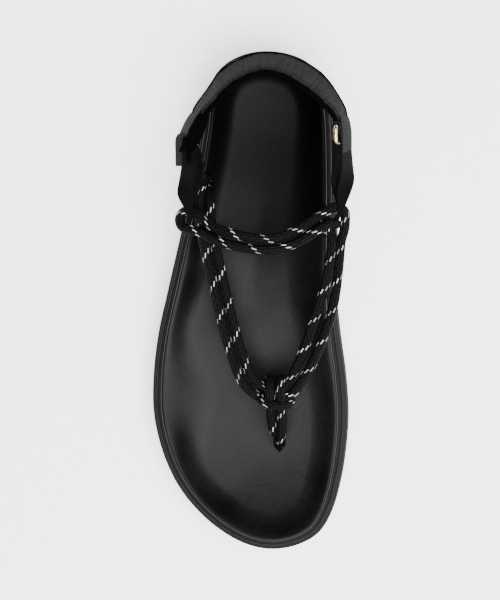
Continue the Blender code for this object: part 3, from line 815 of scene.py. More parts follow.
@dataclass
class SoleForm:
    """The outline, heights and slots that the layers of the sole share."""

    length: float = 0.258
    ball_width: float = 0.102
    rim_height: float = 0.036
    outsole_thickness: float = 0.006
    footbed_thickness: float = 0.0045
    side_draft: float = 0.0041
    ledge_width: float = 0.0009
    rim_round: float = 0.0018
    toe_spring: float = 0.009
    spring_start: float = 0.79
    spring_span: float = 0.21
    spring_power: float = 1.8
    arch_lift_low: float = 0.0015
    arch_start: float = 0.30
    arch_end: float = 0.55
    heel_bevel: float = 0.0015
    bevel_span: float = 0.06
    arch_rise: float = 0.005
    arch_station: float = 0.42
    wall: float = 0.0128
    soft_wall: float = 0.0150
    arch_wall: float = 0.0070
    bowl: float = 0.0035
    bowl_heel_end: float = 0.18
    bowl_toe_start: float = 0.87
    ball_pad: float = 0.0012
    gap: float = 0.0003
    cord_diameter: float = 0.005
    outer_slot: Row = (0.268, -0.316)
    inner_slot: Row = (0.343, 0.247)
    toe_slot: Row = (0.790, 0.045)
    origin_station: float = 0.16
    spine_start: float = 0.13
    spine_end: float = 0.86
    half_steps: int = 110
    outline: tuple[Row, ...] = (
        (0.000, 0.024, -0.024), (0.015, 0.187, 0.152), (0.043, 0.275, 0.242),
        (0.098, 0.338, 0.313), (0.166, 0.363, 0.332), (0.272, 0.409, 0.337), (0.372, 0.464, 0.337),
        (0.481, 0.528, 0.334), (0.563, 0.575, 0.353), (0.646, 0.601, 0.381), (0.728, 0.601, 0.395),
        (0.810, 0.553, 0.380), (0.879, 0.468, 0.348), (0.933, 0.351, 0.302), (0.974, 0.212, 0.224),
        (1.000, -0.011, 0.011),
    )
    heights: tuple[Row, ...] = (
        (0.00, 0.70, 0.83, 1.00), (0.16, 0.67, 0.82, 0.99), (0.30, 0.70, 0.79, 0.95),
        (0.42, 0.71, 0.75, 0.90), (0.55, 0.62, 0.69, 0.83), (0.68, 0.56, 0.65, 0.78),
        (0.84, 0.55, 0.64, 0.77), (1.00, 0.56, 0.64, 0.77),
    )

    def __post_init__(self) -> None:
        """Work out the outline's points and the normals that point inwards."""
        self.outline_keys = [self.round_key(row[0]) for row in self.outline]
        self.height_keys = [row[0] for row in self.heights]
        self.points: list[tuple[Vector, Vector]] = []
        for number in range(2 * self.half_steps):
            turn = number if number <= self.half_steps else 2 * self.half_steps - number
            station = (1 - math.cos(math.pi * turn / self.half_steps)) / 2
            side = Side.INNER if number <= self.half_steps else Side.OUTER
            spine = min(self.spine_end, max(self.spine_start, station))
            spine_point = Vector((self.middle(spine), self.y_of(spine), 0))
            self.points.append((Vector((self.edge(station, side), self.y_of(station), 0)), spine_point))
        self.normals: list[Vector] = []
        for number in range(len(self.points)):
            before = self.points[number - 1][0]
            after = self.points[(number + 1) % len(self.points)][0]
            way = (after - before).normalized()
            self.normals.append(Vector((way.y, -way.x, 0)))

    @staticmethod
    def round_key(station: float) -> float:
        """Angle whose cosine gives the station, for round ends."""
        return math.acos(max(-1.0, min(1.0, 1 - 2 * station)))

    def edge(self, station: float, side: Side) -> float:
        """X of the outline at a station."""
        column = 2 if side is Side.INNER else 1
        values = [side.value * row[column] for row in self.outline]
        return self.ball_width * read_table(self.outline_keys, values, self.round_key(station))

    def width(self, station: float) -> float:
        """Width of the outline at a station."""
        return self.edge(station, Side.INNER) - self.edge(station, Side.OUTER)

    def middle(self, station: float) -> float:
        """X of the line between the two edges."""
        return (self.edge(station, Side.OUTER) + self.edge(station, Side.INNER)) / 2

    def y_of(self, station: float) -> float:
        """Y of a station."""
        return (self.origin_station - station) * self.length

    def station_of(self, y: float) -> float:
        """Station of a Y."""
        return min(1.0, max(0.0, self.origin_station - y / self.length))

    def side_of(self, x: float, station: float) -> float:
        """-1 at the outer edge, 0 in the middle, 1 at the inner edge."""
        half = max(0.004, self.width(station) / 2)
        return max(-1.0, min(1.0, (x - self.middle(station)) / half))

    def spring(self, station: float) -> float:
        """Lift of the toe."""
        past_start = max(0.0, (station - self.spring_start) / self.spring_span)
        return self.toe_spring * past_start**self.spring_power

    def ground(self, station: float, _side: float = 0.0) -> float:
        """Underside of the sole."""
        lift = self.spring(station)
        if self.arch_start < station < self.arch_end:
            share = (station - self.arch_start) / (self.arch_end - self.arch_start)
            lift += self.arch_lift_low * math.sin(math.pi * share) ** 2
        if station < self.bevel_span:
            lift += self.heel_bevel * (1 - station / self.bevel_span) ** 2
        return lift

    def height(self, column: int, station: float) -> float:
        """A row of the height table, with its share of the toe spring."""
        values = [row[column] for row in self.heights]
        share = read_table(self.height_keys, values, station)
        return self.rim_height * share + 0.8 * self.spring(station)

    def arch(self, station: float, side: float) -> float:
        """Rise of the arch towards the inner side."""
        return self.arch_rise * hump(station, self.arch_station, 0.22) * max(0.0, side)

    def floor(self, station: float, side: float) -> float:
        """Walking surface of the footbed.

        Args:
            station: Where along the sole.
            side: Where across it, as side_of says.

        Returns:
            The surface's height.
        """
        cup = self.bowl * side * side * (1 - 0.7 * self.softness(station, side))
        at_heel = max(0.0, 1 - station / self.bowl_heel_end)
        at_toe = max(0.0, (station - self.bowl_toe_start) / (1 - self.bowl_toe_start))
        ends = at_heel**2 + at_toe**2
        pad = self.ball_pad * hump(station, 0.58, 0.09) * (1 - side * side)
        return self.height(1, station) + cup + self.bowl * ends + pad + 0.9 * self.arch(station, side)

    def tray(self, station: float, _side: float = 0.0) -> float:
        """Upper side of the midsole under the footbed."""
        return self.height(1, station) - self.footbed_thickness

    def ledge(self, station: float, side: float) -> float:
        """Narrow step at the top of the midsole."""
        return self.height(2, station) + 0.6 * self.arch(station, side)

    def crest(self, station: float, side: float) -> float:
        """Top of the footbed's rim."""
        return self.height(3, station) + self.arch(station, side)

    def softness(self, station: float, side: float) -> float:
        """How far the footbed's wall flattens out towards the outer ball."""
        return hump(station, 0.70, 0.18) * max(0.0, -side)

    def wall_width(self, station: float, side: float) -> float:
        """Width of the footbed's inner wall in plan."""
        arch_side = self.arch_wall * hump(station, self.arch_station, 0.42) * max(0.0, side)
        return self.wall + self.soft_wall * self.softness(station, side) + arch_side

    def ring(self, inset: float | Level, level: Level) -> list[Vector]:
        """The outline set in by an inset and lifted to a level.

        Args:
            inset: Metres inwards, or how they change along the sole.
            level: The height.

        Returns:
            The ring's points.
        """
        points = []
        for (edge, _spine), normal in zip(self.points, self.normals):
            station = self.station_of(edge.y)
            amount = inset(station, self.side_of(edge.x, station)) if callable(inset) else inset
            place = edge + normal * amount
            station = self.station_of(place.y)
            place.z = level(station, self.side_of(place.x, station))
            points.append(place)
        return points

    def toward_spine(self, points: Sequence[Vector], share: float, level: Level) -> list[Vector]:
        """A ring part of the way from another ring to the spine.

        Args:
            points: The other ring.
            share: How far it goes.
            level: The height.

        Returns:
            The ring's points.
        """
        result = []
        for place, (_edge, spine) in zip(points, self.points):
            flat = Vector((place.x, place.y, 0)).lerp(spine, share)
            station = self.station_of(flat.y)
            flat.z = level(station, self.side_of(flat.x, station))
            result.append(flat)
        return result

    def skin(self, name: str, rings: Sequence[Sequence[Vector]], sharp: float = 40.0) -> Piece:
        """Draw one layer of the sole through its rings.

        Args:
            name: The piece's name.
            rings: Its rings.
            sharp: Edges sharper than this, in degrees, stay sharp.

        Returns:
            The piece.
        """
        around = [number / len(self.points) for number in range(len(self.points) + 1)]
        along = [0.0]
        for low, high in zip(rings, rings[1:]):
            along.append(along[-1] + (high[0] - low[0]).length)
        return loft(name, rings, around, along, sharp=sharp)


@dataclass
class Outsole:
    """Thin rubber tread under the foam."""

    form: SoleForm
    groove_width: float = 0.0035
    groove_depth: float = 0.002
    groove_margin: float = 0.010
    grooves: Row = (0.085, 0.120, 0.200, 0.235, 0.270, 0.585, 0.620, 0.700, 0.735, 0.770)
    tread_inset: float = 0.0022
    top_inset: float = 0.0009
    lower_round: tuple[Row, ...] = (
        (0.0013, 0.0004),
        (0.0007, 0.0010),
        (0.0002, 0.0017),
        (0.0, 0.0024),
    )
    upper_round: tuple[Row, ...] = ((0.0, 0.0010), (0.0003, 0.0004))

    def build(self) -> Piece:
        """Model the tread, with its cross grooves cut by a Boolean."""
        form = self.form
        level = lifted(form.ground, form.outsole_thickness)
        tread = form.ring(self.tread_inset, form.ground)
        top = form.ring(self.top_inset, level)
        rings = [form.toward_spine(tread, share, form.ground) for share in (1.0, 0.5)] + [tread]
        rings += [form.ring(inset, lifted(form.ground, lift)) for inset, lift in self.lower_round]
        for inset, drop in self.upper_round:
            rings.append(form.ring(inset, lifted(form.ground, form.outsole_thickness - drop)))
        rings += [top, form.toward_spine(top, 1.0, level)]
        piece = form.skin("outsole_rubber_tread", rings)
        for number, station in enumerate(self.grooves):
            self.cut_groove(piece, number, station)
        return settle(piece, RUBBER, "outsole_rubber", "outsole")

    def cut_groove(self, piece: Piece, number: int, station: float) -> None:
        """Cut one groove across the tread.

        Args:
            piece: The tread.
            number: The groove's number.
            station: Where it is.
        """
        form = self.form
        half = form.width(station) / 2 - self.groove_margin
        deselect()
        bpy.ops.mesh.primitive_cube_add(size=1.0, location=(form.middle(station), form.y_of(station), 0.0))
        cutter = bpy.context.object
        bpy.ops.object.mode_set(mode="EDIT")
        bpy.ops.transform.resize(value=(2 * half, self.groove_width, 2 * self.groove_depth))
        bpy.ops.mesh.select_all(action="SELECT")
        bpy.ops.mesh.bevel(offset=0.0007, segments=2)
        bpy.ops.object.mode_set(mode="OBJECT")
        cut(piece, cutter, "groove_%d" % number)


def cut(piece: Piece, cutter: Piece, name: str) -> None:
    """Take a cutter out of a piece and remove the cutter.

    Args:
        piece: What is cut.
        cutter: The form to take out.
        name: The modifier's name.
    """
    modifier = piece.modifiers.new(name, "BOOLEAN")
    modifier.operation = "DIFFERENCE"
    modifier.object = cutter
    modifier.solver = "EXACT"
    deselect()
    piece.select_set(True)
    bpy.context.view_layer.objects.active = piece
    bpy.ops.object.modifier_apply(modifier=modifier.name)
    bpy.data.objects.remove(cutter, do_unlink=True)


@dataclass
class Midsole:
    """Thick foam layer with a step and a rib round its side."""

    form: SoleForm
    side: tuple[Row, ...] = (
        (0.04, 0.16), (0.08, 0.07), (0.14, 0.03), (0.30, 0.03), (0.335, 0.07), (0.350, 0.20),
        (0.365, 0.36), (0.385, 0.40), (0.430, 0.40), (0.450, 0.36), (0.470, 0.22), (0.495, 0.14),
        (0.540, 0.12), (0.660, 0.17), (0.690, 0.24), (0.695, 0.38), (0.800, 0.43), (0.825, 0.50),
        (0.830, 0.66), (0.920, 0.70), (0.965, 0.78),
    )

    def bottom(self, station: float, _side: float = 0.0) -> float:
        """Underside of the foam."""
        return self.form.ground(station) + self.form.outsole_thickness + self.form.gap

    def build(self) -> Piece:
        """Model the foam layer."""
        form = self.form

        def side_level(share: float) -> Level:
            """A share of the way up the side."""

            def level(station: float, side: float) -> float:
                """Height at a station."""
                low = self.bottom(station)
                return low + share * (form.ledge(station, side) - low)

            return level

        draft = form.side_draft
        base = form.ring(0.0015, self.bottom)
        tray = form.ring(draft + form.ledge_width + 0.0006, form.tray)
        rings = [form.toward_spine(base, 1.0, self.bottom), base]
        rings += [form.ring(share * draft, side_level(rise)) for rise, share in self.side]
        rings += [form.ring(draft + inset, form.ledge) for inset in (-0.0001, 0.0004, form.ledge_width)]
        rings += [tray, form.toward_spine(tray, 1.0, form.tray)]
        return settle(form.skin("midsole_foam_body", rings, 32.0), FOAM, "midsole_foam", "midsole")


@dataclass
class Footbed:
    """Leather covered bed with a raised rim and three slots for the cords."""

    form: SoleForm
    slot_clearance: float = 0.0007
    slot_stretch: float = 1.06
    point_narrowing: float = 0.8
    point_shortening: float = 0.0022
    eased_wall_power: float = 1.25
    under_inset: float = 0.0006
    rim: tuple[Row, ...] = ((0.0, 1.2), (0.0001, 0.55), (0.0004, 0.18))
    wall: tuple[Row, ...] = (
        (0.00, 1.00), (0.05, 0.995), (0.10, 0.960), (0.18, 0.855), (0.28, 0.66), (0.38, 0.475),
        (0.48, 0.315), (0.58, 0.195), (0.68, 0.110), (0.78, 0.052), (0.88, 0.017), (0.94, 0.005),
        (1.00, 0.00),
    )

    def build(self) -> Piece:
        """Model the bed and cut its slots."""
        form = self.form
        outer = form.side_draft + form.ledge_width + form.gap
        crest = outer + form.rim_round / 2

        under = lifted(form.tray, form.gap)

        def wall_inset(share: float) -> Level:
            """Inset of a share of the wall."""
            return lambda station, side: crest + share * form.wall_width(station, side)

        def wall_level(share: float, left: float) -> Level:
            """Height with a share of the drop still to go, evened out where the wall is soft."""

            def level(station: float, side: float) -> float:
                """Height at a station."""
                low = form.floor(station, side)
                eased = (1 - share) ** self.eased_wall_power
                drop = left + form.softness(station, side) * (eased - left)
                return low + drop * (form.crest(station, side) - low)

            return level

        base = form.ring(outer + self.under_inset, under)
        rings = [form.toward_spine(base, 1.0, under), base]
        for inset, drop in self.rim:
            rings.append(form.ring(outer + inset, lifted(form.crest, -form.rim_round * drop)))
        rings += [form.ring(wall_inset(share), wall_level(share, left)) for share, left in self.wall]
        floor = rings[-1]
        for share in (0.12, 0.25, 0.40, 0.55, 0.70, 0.85, 1.0):
            rings.append(form.toward_spine(floor, share, form.floor))
        piece = form.skin("footbed_leather_bed", rings, 50.0)
        for number, place in enumerate((form.outer_slot, form.inner_slot, form.toe_slot)):
            self.cut_slot(piece, number, place, place is form.toe_slot)
        return settle(piece, LEATHER, "footbed_leather", "footbed")

    def cut_slot(self, piece: Piece, number: int, place: Row, pointed: bool) -> None:
        """Cut one long slot, rounded at both ends or drawn to a point at the front.

        Args:
            piece: The bed.
            number: The slot's number.
            place: Its station and its share sideways.
            pointed: Whether it has the point.
        """
        form = self.form
        along, across = place
        radius = form.cord_diameter / 2 + self.slot_clearance
        deselect()
        bpy.ops.mesh.primitive_cylinder_add(
            vertices=32,
            radius=radius,
            depth=2 * form.rim_height,
            location=(across * form.ball_width, form.y_of(along), form.rim_height),
        )
        cutter = bpy.context.object
        bpy.ops.object.mode_set(mode="EDIT")
        mesh = bmesh.from_edit_mesh(cutter.data)
        stretch = self.slot_stretch * form.cord_diameter / 2
        for corner in mesh.verts:
            if abs(corner.co.y) > 1e-5:
                corner.co.y += math.copysign(stretch, corner.co.y)
            if pointed and corner.co.y < 0:
                share = -corner.co.y / (radius + stretch)
                corner.co.x *= 1 - self.point_narrowing * share
                corner.co.y += self.point_shortening * share
        bmesh.update_edit_mesh(cutter.data)
        bpy.ops.object.mode_set(mode="OBJECT")
        cut(piece, cutter, "slot_%d" % number)


# The upper


@dataclass
class UpperForm:
    """Scale of the upper's tables, and the sizes that its pieces share."""

    sole: SoleForm
    loop_height: float = 0.052
    webbing_slack: float = 0.0006
    webbing_height: float = 0.014
    webbing_thickness: float = 0.0015
    ring_length: float = 0.010
    ring_wire: float = 0.002
    ring_lean: float = 20.0
    gap: float = 0.0003

    def place(self, along: float, across: float, rise: float) -> Vector:
        """A point from its shares."""
        return Vector((across * self.sole.ball_width, self.sole.y_of(along), rise * self.loop_height))


@dataclass
class RopeUpper:
    """The doubled cord: its V, its knot over the toe post, and its stretch over the instep."""

    form: UpperForm
    sides: int = 20
    spacing: float = 0.0012
    bight_degrees: tuple[int, ...] = TURN_DEGREES
    braid_shift: float = 0.0043
    post_pinch: float = 0.34
    pinch_start: float = 0.008
    pinch_end: float = 0.024
    v_route: tuple[Row, ...] = (
        (0.268, -0.316, 0.560, 1.06, -90, 0),
        (0.268, -0.317, 0.680, 1.06, -88, 0),
        (0.282, -0.324, 0.800, 1.06, -60, 0),
        (0.309, -0.323, 0.890, 1.06, -10, 0),
        (0.349, -0.312, 0.935, 1.08, 6, 0),
        (0.389, -0.295, 0.945, 1.08, 10, 0),
        (0.455, -0.257, 0.930, 1.08, 14, 0),
        (0.516, -0.222, 0.905, 1.08, 15, 0),
        (0.579, -0.182, 0.870, 1.08, 19, 0),
        (0.640, -0.129, 0.830, 1.08, 34, 0),
        (0.663, -0.093, 0.812, 1.08, 52, 0),
        (0.680, -0.038, 0.800, 1.08, 76, 0),
        (0.684, 0.021, 0.800, 1.08, 90, 0),
        (0.679, 0.081, 0.800, 1.08, 112, 0),
        (0.664, 0.119, 0.812, 1.10, 138, 0),
        (0.621, 0.181, 0.840, 1.30, 153, 0),
        (0.557, 0.245, 0.878, 1.50, 160, 4),
        (0.496, 0.293, 0.905, 1.38, 166, 16),
        (0.432, 0.323, 0.930, 1.18, 172, 36),
        (0.385, 0.334, 0.945, 1.14, 180, 34),
        (0.362, 0.340, 0.952, 1.34, 186, 12),
        (0.347, 0.344, 0.960, 1.40, 190, 0),
    )
    instep_route: tuple[Row, ...] = (
        (0.340, -0.402, 0.990, 1.82, 74, 0),
        (0.344, -0.372, 1.015, 1.74, 68, 0),
        (0.356, -0.319, 1.045, 1.22, 63, 0),
        (0.369, -0.259, 1.080, 1.12, 66, 4),
        (0.379, -0.175, 1.120, 1.12, 76, 8),
        (0.387, -0.070, 1.150, 1.12, 85, 8),
        (0.388, 0.010, 1.155, 1.12, 93, 8),
        (0.383, 0.077, 1.145, 1.12, 104, 8),
        (0.371, 0.152, 1.120, 1.12, 118, 4),
        (0.352, 0.227, 1.080, 1.12, 124, 0),
        (0.338, 0.285, 1.045, 1.18, 112, 0),
        (0.331, 0.328, 1.010, 1.60, 92, 0),
        (0.337, 0.354, 0.982, 1.64, 59, 0),
    )
    post_route: tuple[Row, ...] = (
        (0.668, 0.027, 0.730, 1.06, 0, 0),
        (0.655, 0.028, 0.790, 1.06, 0, 0),
        (0.658, 0.029, 0.865, 1.06, 0, 0),
        (0.670, 0.030, 0.900, 1.06, 0, 0),
        (0.684, 0.031, 0.905, 1.06, 0, 0),
        (0.698, 0.031, 0.875, 1.06, 0, 0),
        (0.710, 0.032, 0.810, 1.06, -2, 0),
        (0.731, 0.036, 0.750, 1.06, -8, 0),
        (0.753, 0.039, 0.690, 0.94, -25, 0),
        (0.771, 0.043, 0.610, 0.78, -60, 0),
        (0.783, 0.045, 0.530, 0.62, -86, 0),
        (0.787, 0.045, 0.460, 0.60, -90, 0),
    )
    anchor_route: tuple[Row, ...] = (
        (0.343, 0.247, 0.560, 1.06, -90, 0),
        (0.344, 0.248, 0.690, 1.06, -90, 0),
        (0.347, 0.258, 0.800, 1.06, -90, 0),
        (0.352, 0.285, 0.880, 1.06, -90, 0),
        (0.358, 0.315, 0.930, 1.06, -90, 0),
    )
    collar_route: tuple[Row, ...] = (
        (0.684, -0.056, 0.745),
        (0.694, -0.036, 0.830),
        (0.703, 0.005, 0.905),
        (0.706, 0.050, 0.905),
        (0.704, 0.088, 0.830),
        (0.696, 0.106, 0.745),
    )

    @staticmethod
    def side_vector(heading: float, tilt: float, along: Vector) -> Vector:
        """Direction from the doubled cord's middle to its first strand.

        Args:
            heading: Degrees from +X in plan.
            tilt: Degrees that it then rises.
            along: The cord's own direction.

        Returns:
            The direction, square to the cord.
        """
        flat = direction(heading)
        flat = (flat - along * flat.dot(along)).normalized()
        up = along.cross(flat)
        if up.z < 0:
            up = -up
        return flat * math.cos(math.radians(tilt)) + up * math.sin(math.radians(tilt))

    def strands(
        self,
        route: tuple[Row, ...],
        slot: Row | None = None,
    ) -> tuple[list[Vector], list[Vector], list[Vector]]:
        """The two strands of a doubled cord.

        Args:
            route: Rows of along, across, rise, spread, heading and tilt.
            slot: The slot that the route starts in, if it does.

        Returns:
            Both strands' points, and the side vectors of the rows.
        """
        sole = self.form.sole
        middles = [self.form.place(*row[:3]) for row in route]
        if slot:
            foot = self.form.place(*slot, 0)
            foot.z = sole.tray(slot[0]) + 2 * self.form.gap
            middles.insert(0, foot)
            route = (route[0], *route)
        sides = []
        for number, row in enumerate(route):
            before = middles[max(0, number - 1)]
            after = middles[min(len(middles) - 1, number + 1)]
            sides.append(self.side_vector(row[4], row[5], (after - before).normalized()))
        spreads = [row[3] * sole.cord_diameter / 2 for row in route]
        first = [m + s * w for m, s, w in zip(middles, sides, spreads)]
        second = [m - s * w for m, s, w in zip(middles, sides, spreads)]
        return first, second, sides

    def tube(self, name: str, points: Sequence[Vector], start: float, pinch: float = 0.0) -> Piece:
        """One cord along a line.

        Args:
            name: The cord's name.
            points: The line that it follows.
            start: Where its braid starts, in metres, so that cords differ.
            pinch: Share by which its first end is squeezed.

        Returns:
            The cord, with its braid's UV map.
        """
        line = smooth_line(points, self.spacing)
        last = len(line) - 1
        rings = []
        along = [start]
        across = None
        for number, place in enumerate(line):
            way = (line[min(last, number + 1)] - line[max(0, number - 1)]).normalized()
            if across is None:
                guide = UP if abs(way.z) < 0.8 else Vector((1, 0, 0))
                across = way.cross(guide)
            across = (across - way * across.dot(way)).normalized()
            up = way.cross(across)
            eased = smooth_step(number * self.spacing, self.pinch_start, self.pinch_end)
            radius = self.form.sole.cord_diameter / 2 * (1 - pinch * (1 - eased))
            angles = [2 * math.pi * corner / self.sides for corner in range(self.sides)]
            rings.append([place + radius * (across * math.cos(a) + up * math.sin(a)) for a in angles])
            if number:
                along.append(along[-1] + (place - line[number - 1]).length)
        around = [corner / self.sides for corner in range(self.sides + 1)]
        return loft(name, rings, around, along, capped=True, sharp=60.0)

    def build(self) -> Piece:
        """Model every cord and join them as one upper."""
        sole = self.form.sole
        v_inner, v_outer, _ = self.strands(self.v_route, sole.outer_slot)
        over_first, over_second, over_sides = self.strands(self.instep_route)
        post_right, post_left, _ = self.strands(tuple(reversed(self.post_route)), sole.toe_slot)
        anchor_front, anchor_back, _ = self.strands(self.anchor_route, sole.inner_slot)

        middle = (over_first[0] + over_second[0]) / 2
        reach = (over_first[0] - over_second[0]).length / 2
        outward = (over_first[0] - over_first[1] + over_second[0] - over_second[1]).normalized()
        bight = []
        for degrees in self.bight_degrees:
            angle = math.radians(degrees)
            place = middle + over_sides[0] * reach * math.cos(angle)
            bight.append(place + outward * reach * math.sin(angle))

        cords = {
            "cord_inner_of_v": v_inner,
            "cord_outer_of_v_and_instep": v_outer + list(reversed(over_first)) + bight + over_second,
            "cord_anchor_front": anchor_front,
            "cord_anchor_back": anchor_back,
            "cord_post_left": post_left,
            "cord_post_right": post_right,
            "cord_collar": [self.form.place(*row) for row in self.collar_route],
        }
        pieces = []
        for number, (name, points) in enumerate(cords.items()):
            pinch = self.post_pinch if name.startswith("cord_post") else 0.0
            pieces.append(self.tube(name, points, self.braid_shift * number, pinch))
        return settle(join("rope_upper_cords", pieces), BRAID, "rope", "rope_upper")


@dataclass
class WireRing:
    """Rectangular gold wire ring, standing upright, with round corners."""

    form: UpperForm
    side: Side
    row: Row
    wire_sides: int = 16
    corner_parts: int = 8
    corner_share: float = 0.8

    def bars(self) -> tuple[Vector, Vector, Vector]:
        """Middles of the rear and front upright bars, and the ring's heading."""
        along, across, rise, heading = self.row
        middle = self.form.place(along, across, rise)
        way = direction(heading)
        half = (self.form.ring_length - self.form.ring_wire) / 2
        return middle - way * half, middle + way * half, way

    def axes(self) -> tuple[Vector, Vector]:
        """Directions up along the bars, which lean in over the foot, and out of the plane."""
        _rear, _front, way = self.bars()
        side = Vector((way.y, -way.x, 0))
        if side.x * self.side.value < 0:
            side = -side
        lean = math.radians(self.form.ring_lean)
        up = Vector((0, 0, math.cos(lean))) - side * math.sin(lean)
        out = side * math.cos(lean) + Vector((0, 0, math.sin(lean)))
        return up, out

    def build(self) -> Piece:
        """Sweep the wire round the ring."""
        rear, front, way = self.bars()
        up, out = self.axes()
        wire = self.form.ring_wire
        middle = (rear + front) / 2
        half_length = (self.form.ring_length - wire) / 2
        half_height = self.form.webbing_height / 2 + self.form.webbing_slack + wire / 2
        corner = wire * self.corner_share
        line = []
        for number, (a, b) in enumerate(((1, 1), (-1, 1), (-1, -1), (1, -1))):
            for part in range(self.corner_parts + 1):
                angle = math.pi / 2 * (number + part / self.corner_parts)
                x = a * (half_length - corner) + corner * math.cos(angle)
                z = b * (half_height - corner) + corner * math.sin(angle)
                line.append(middle + way * x + up * z)
        rings = []
        angles = [2 * math.pi * k / self.wire_sides for k in range(self.wire_sides)]
        for number, place in enumerate(line):
            along = (line[(number + 1) % len(line)] - line[number - 1]).normalized()
            across = along.cross(out)
            rings.append([place + wire / 2 * (across * math.cos(t) + out * math.sin(t)) for t in angles])
        rings.append(rings[0])
        around = [k / self.wire_sides for k in range(self.wire_sides + 1)]
        side = self.side.name.lower()
        piece = loft("ring_wire_%s" % side, rings, around, list(range(len(rings))), sharp=60.0)
        return settle(piece, GOLD, "gold_metal", "ring_%s" % side)


@dataclass(frozen=True)
class Band:
    """A flat or padded band with a rounded section, swept through frames.

    A closed band comes back to its start. Each stretch between two of the given frames is
    drawn in so many parts.
    """

    points: int
    squareness: float
    closed: bool = False
    parts: int = 1
    sharp: float = 50.0

    def section(self) -> list[tuple[float, float]]:
        """Points of the section, as shares of half thickness and half height."""
        powers = (self.squareness, self.squareness * 0.7)
        result = []
        for number in range(self.points):
            angle = 2 * math.pi * (number + 0.5) / self.points
            pair = zip((math.cos(angle), math.sin(angle)), powers)
            result.append(tuple(math.copysign(abs(value) ** power, value) for value, power in pair))
        return result

    def refine(self, frames: Sequence[Frame]) -> list[Frame]:
        """Put smooth frames between the given ones.

        Args:
            frames: The given frames.

        Returns:
            The frames, with the first repeated at the end where the band is closed.
        """
        result = []
        for number in range(len(frames) if self.closed else len(frames) - 1):
            picked = neighbours(frames, number, self.closed)
            for part in range(self.parts):
                result.append(tuple(curve_point(*rows, part / self.parts) for rows in zip(*picked)))
        result.append(frames[0] if self.closed else frames[-1])
        return result

    def build(self, name: str, given: Sequence[Frame]) -> Piece:
        """Sweep the section through frames.

        Args:
            name: The piece's name.
            given: Place, half thickness vector and half height vector of each frame.

        Returns:
            The band, with a UV map in metres.
        """
        frames = self.refine(given)
        section = self.section()
        rings = [[place + thick * a + tall * b for a, b in section] for place, thick, tall in frames]
        along = [0.0]
        for number in range(1, len(frames)):
            along.append(along[-1] + (frames[number][0] - frames[number - 1][0]).length)
        around = [0.0]
        ring = rings[len(rings) // 2]
        for number in range(len(ring)):
            around.append(around[-1] + (ring[(number + 1) % len(ring)] - ring[number]).length)
        return loft(name, rings, around, along, capped=not self.closed, sharp=self.sharp)


@dataclass
class WebbingLoop:
    """Webbing looped round a ring's front bar and, turned flat, round one strand."""

    form: UpperForm
    ring: WireRing
    rows: tuple[Row, ...]
    eye: Row
    spread: float = 0.002

    @staticmethod
    def layer(along: Vector, turn: float, outward: int) -> tuple[Vector, Vector, Vector]:
        """Directions of a band that stands on edge or lies flat.

        Args:
            along: Its direction.
            turn: 0 on edge, 90 flat.
            outward: Sign of X on the outside.

        Returns:
            The directions along it, out of its face and across its width.
        """
        side = along.cross(UP).normalized()
        if side.x * outward < 0:
            side = -side
        up = side.cross(along).normalized()
        if up.z < 0:
            up = -up
        angle = math.radians(turn)
        normal = side * math.cos(angle) + up * math.sin(angle)
        tall = up * math.cos(angle) - side * math.sin(angle)
        return along, normal, tall

    def frames(self) -> list[Frame]:
        """The frames once round the loop."""
        form = self.form
        _rear, bar, way = self.ring.bars()
        outward = self.ring.side.value
        thick = form.webbing_thickness / 2
        tall_full = form.webbing_height / 2
        along, across, rise, heading, play, width = self.eye
        places = [form.place(*row[:3]) for row in self.rows] + [form.place(along, across, rise)]
        reach = form.ring_wire / 2 + form.gap + thick
        layers = [(bar, *self.layer(way, form.ring_lean, outward), reach, tall_full)]
        for number, row in enumerate(self.rows):
            before = places[number - 1] if number else bar
            forward = (places[number + 1] - before).normalized()
            sizes = (row[3] * self.spread, row[4] * tall_full)
            layers.append((places[number], *self.layer(forward, row[5], outward), *sizes))
        reach = form.sole.cord_diameter / 2 + play + thick
        layers.append((places[-1], *self.layer(direction(heading), 90, outward), reach, width * tall_full))

        def turned(layer: tuple, sign: int, degrees: Sequence[int]) -> list[Frame]:
            """Frames round one end of the loop."""
            place, forward, normal, tall, half, height = layer
            end = []
            for angle in map(math.radians, degrees):
                out = normal * math.cos(angle) + forward * (sign * math.sin(angle))
                end.append((place + out * half, out * thick, tall * height))
            return end

        there = []
        back = []
        for place, _forward, normal, tall, half, height in layers:
            there.append((place + normal * half, normal * thick, tall * height))
            back.append((place - normal * half, -normal * thick, tall * height))
        round_cord = turned(layers[-1], 1, TURN_DEGREES)
        round_bar = turned(layers[0], -1, TURN_DEGREES[::-1])
        return there + round_cord + back[::-1] + round_bar

    def build(self, extra: Sequence[Piece] = ()) -> Piece:
        """Sweep the webbing, and join what is sewn to it.

        Args:
            extra: What is sewn to it.

        Returns:
            The webbing.
        """
        side = self.ring.side.name.lower()
        name = "webbing_loop_%s" % side
        piece = Band(20, 0.35, closed=True, parts=5).build(name, self.frames())
        piece = join(name, [piece, *extra])
        return settle(piece, WEBBING, "strap_textile", "webbing_%s" % side)


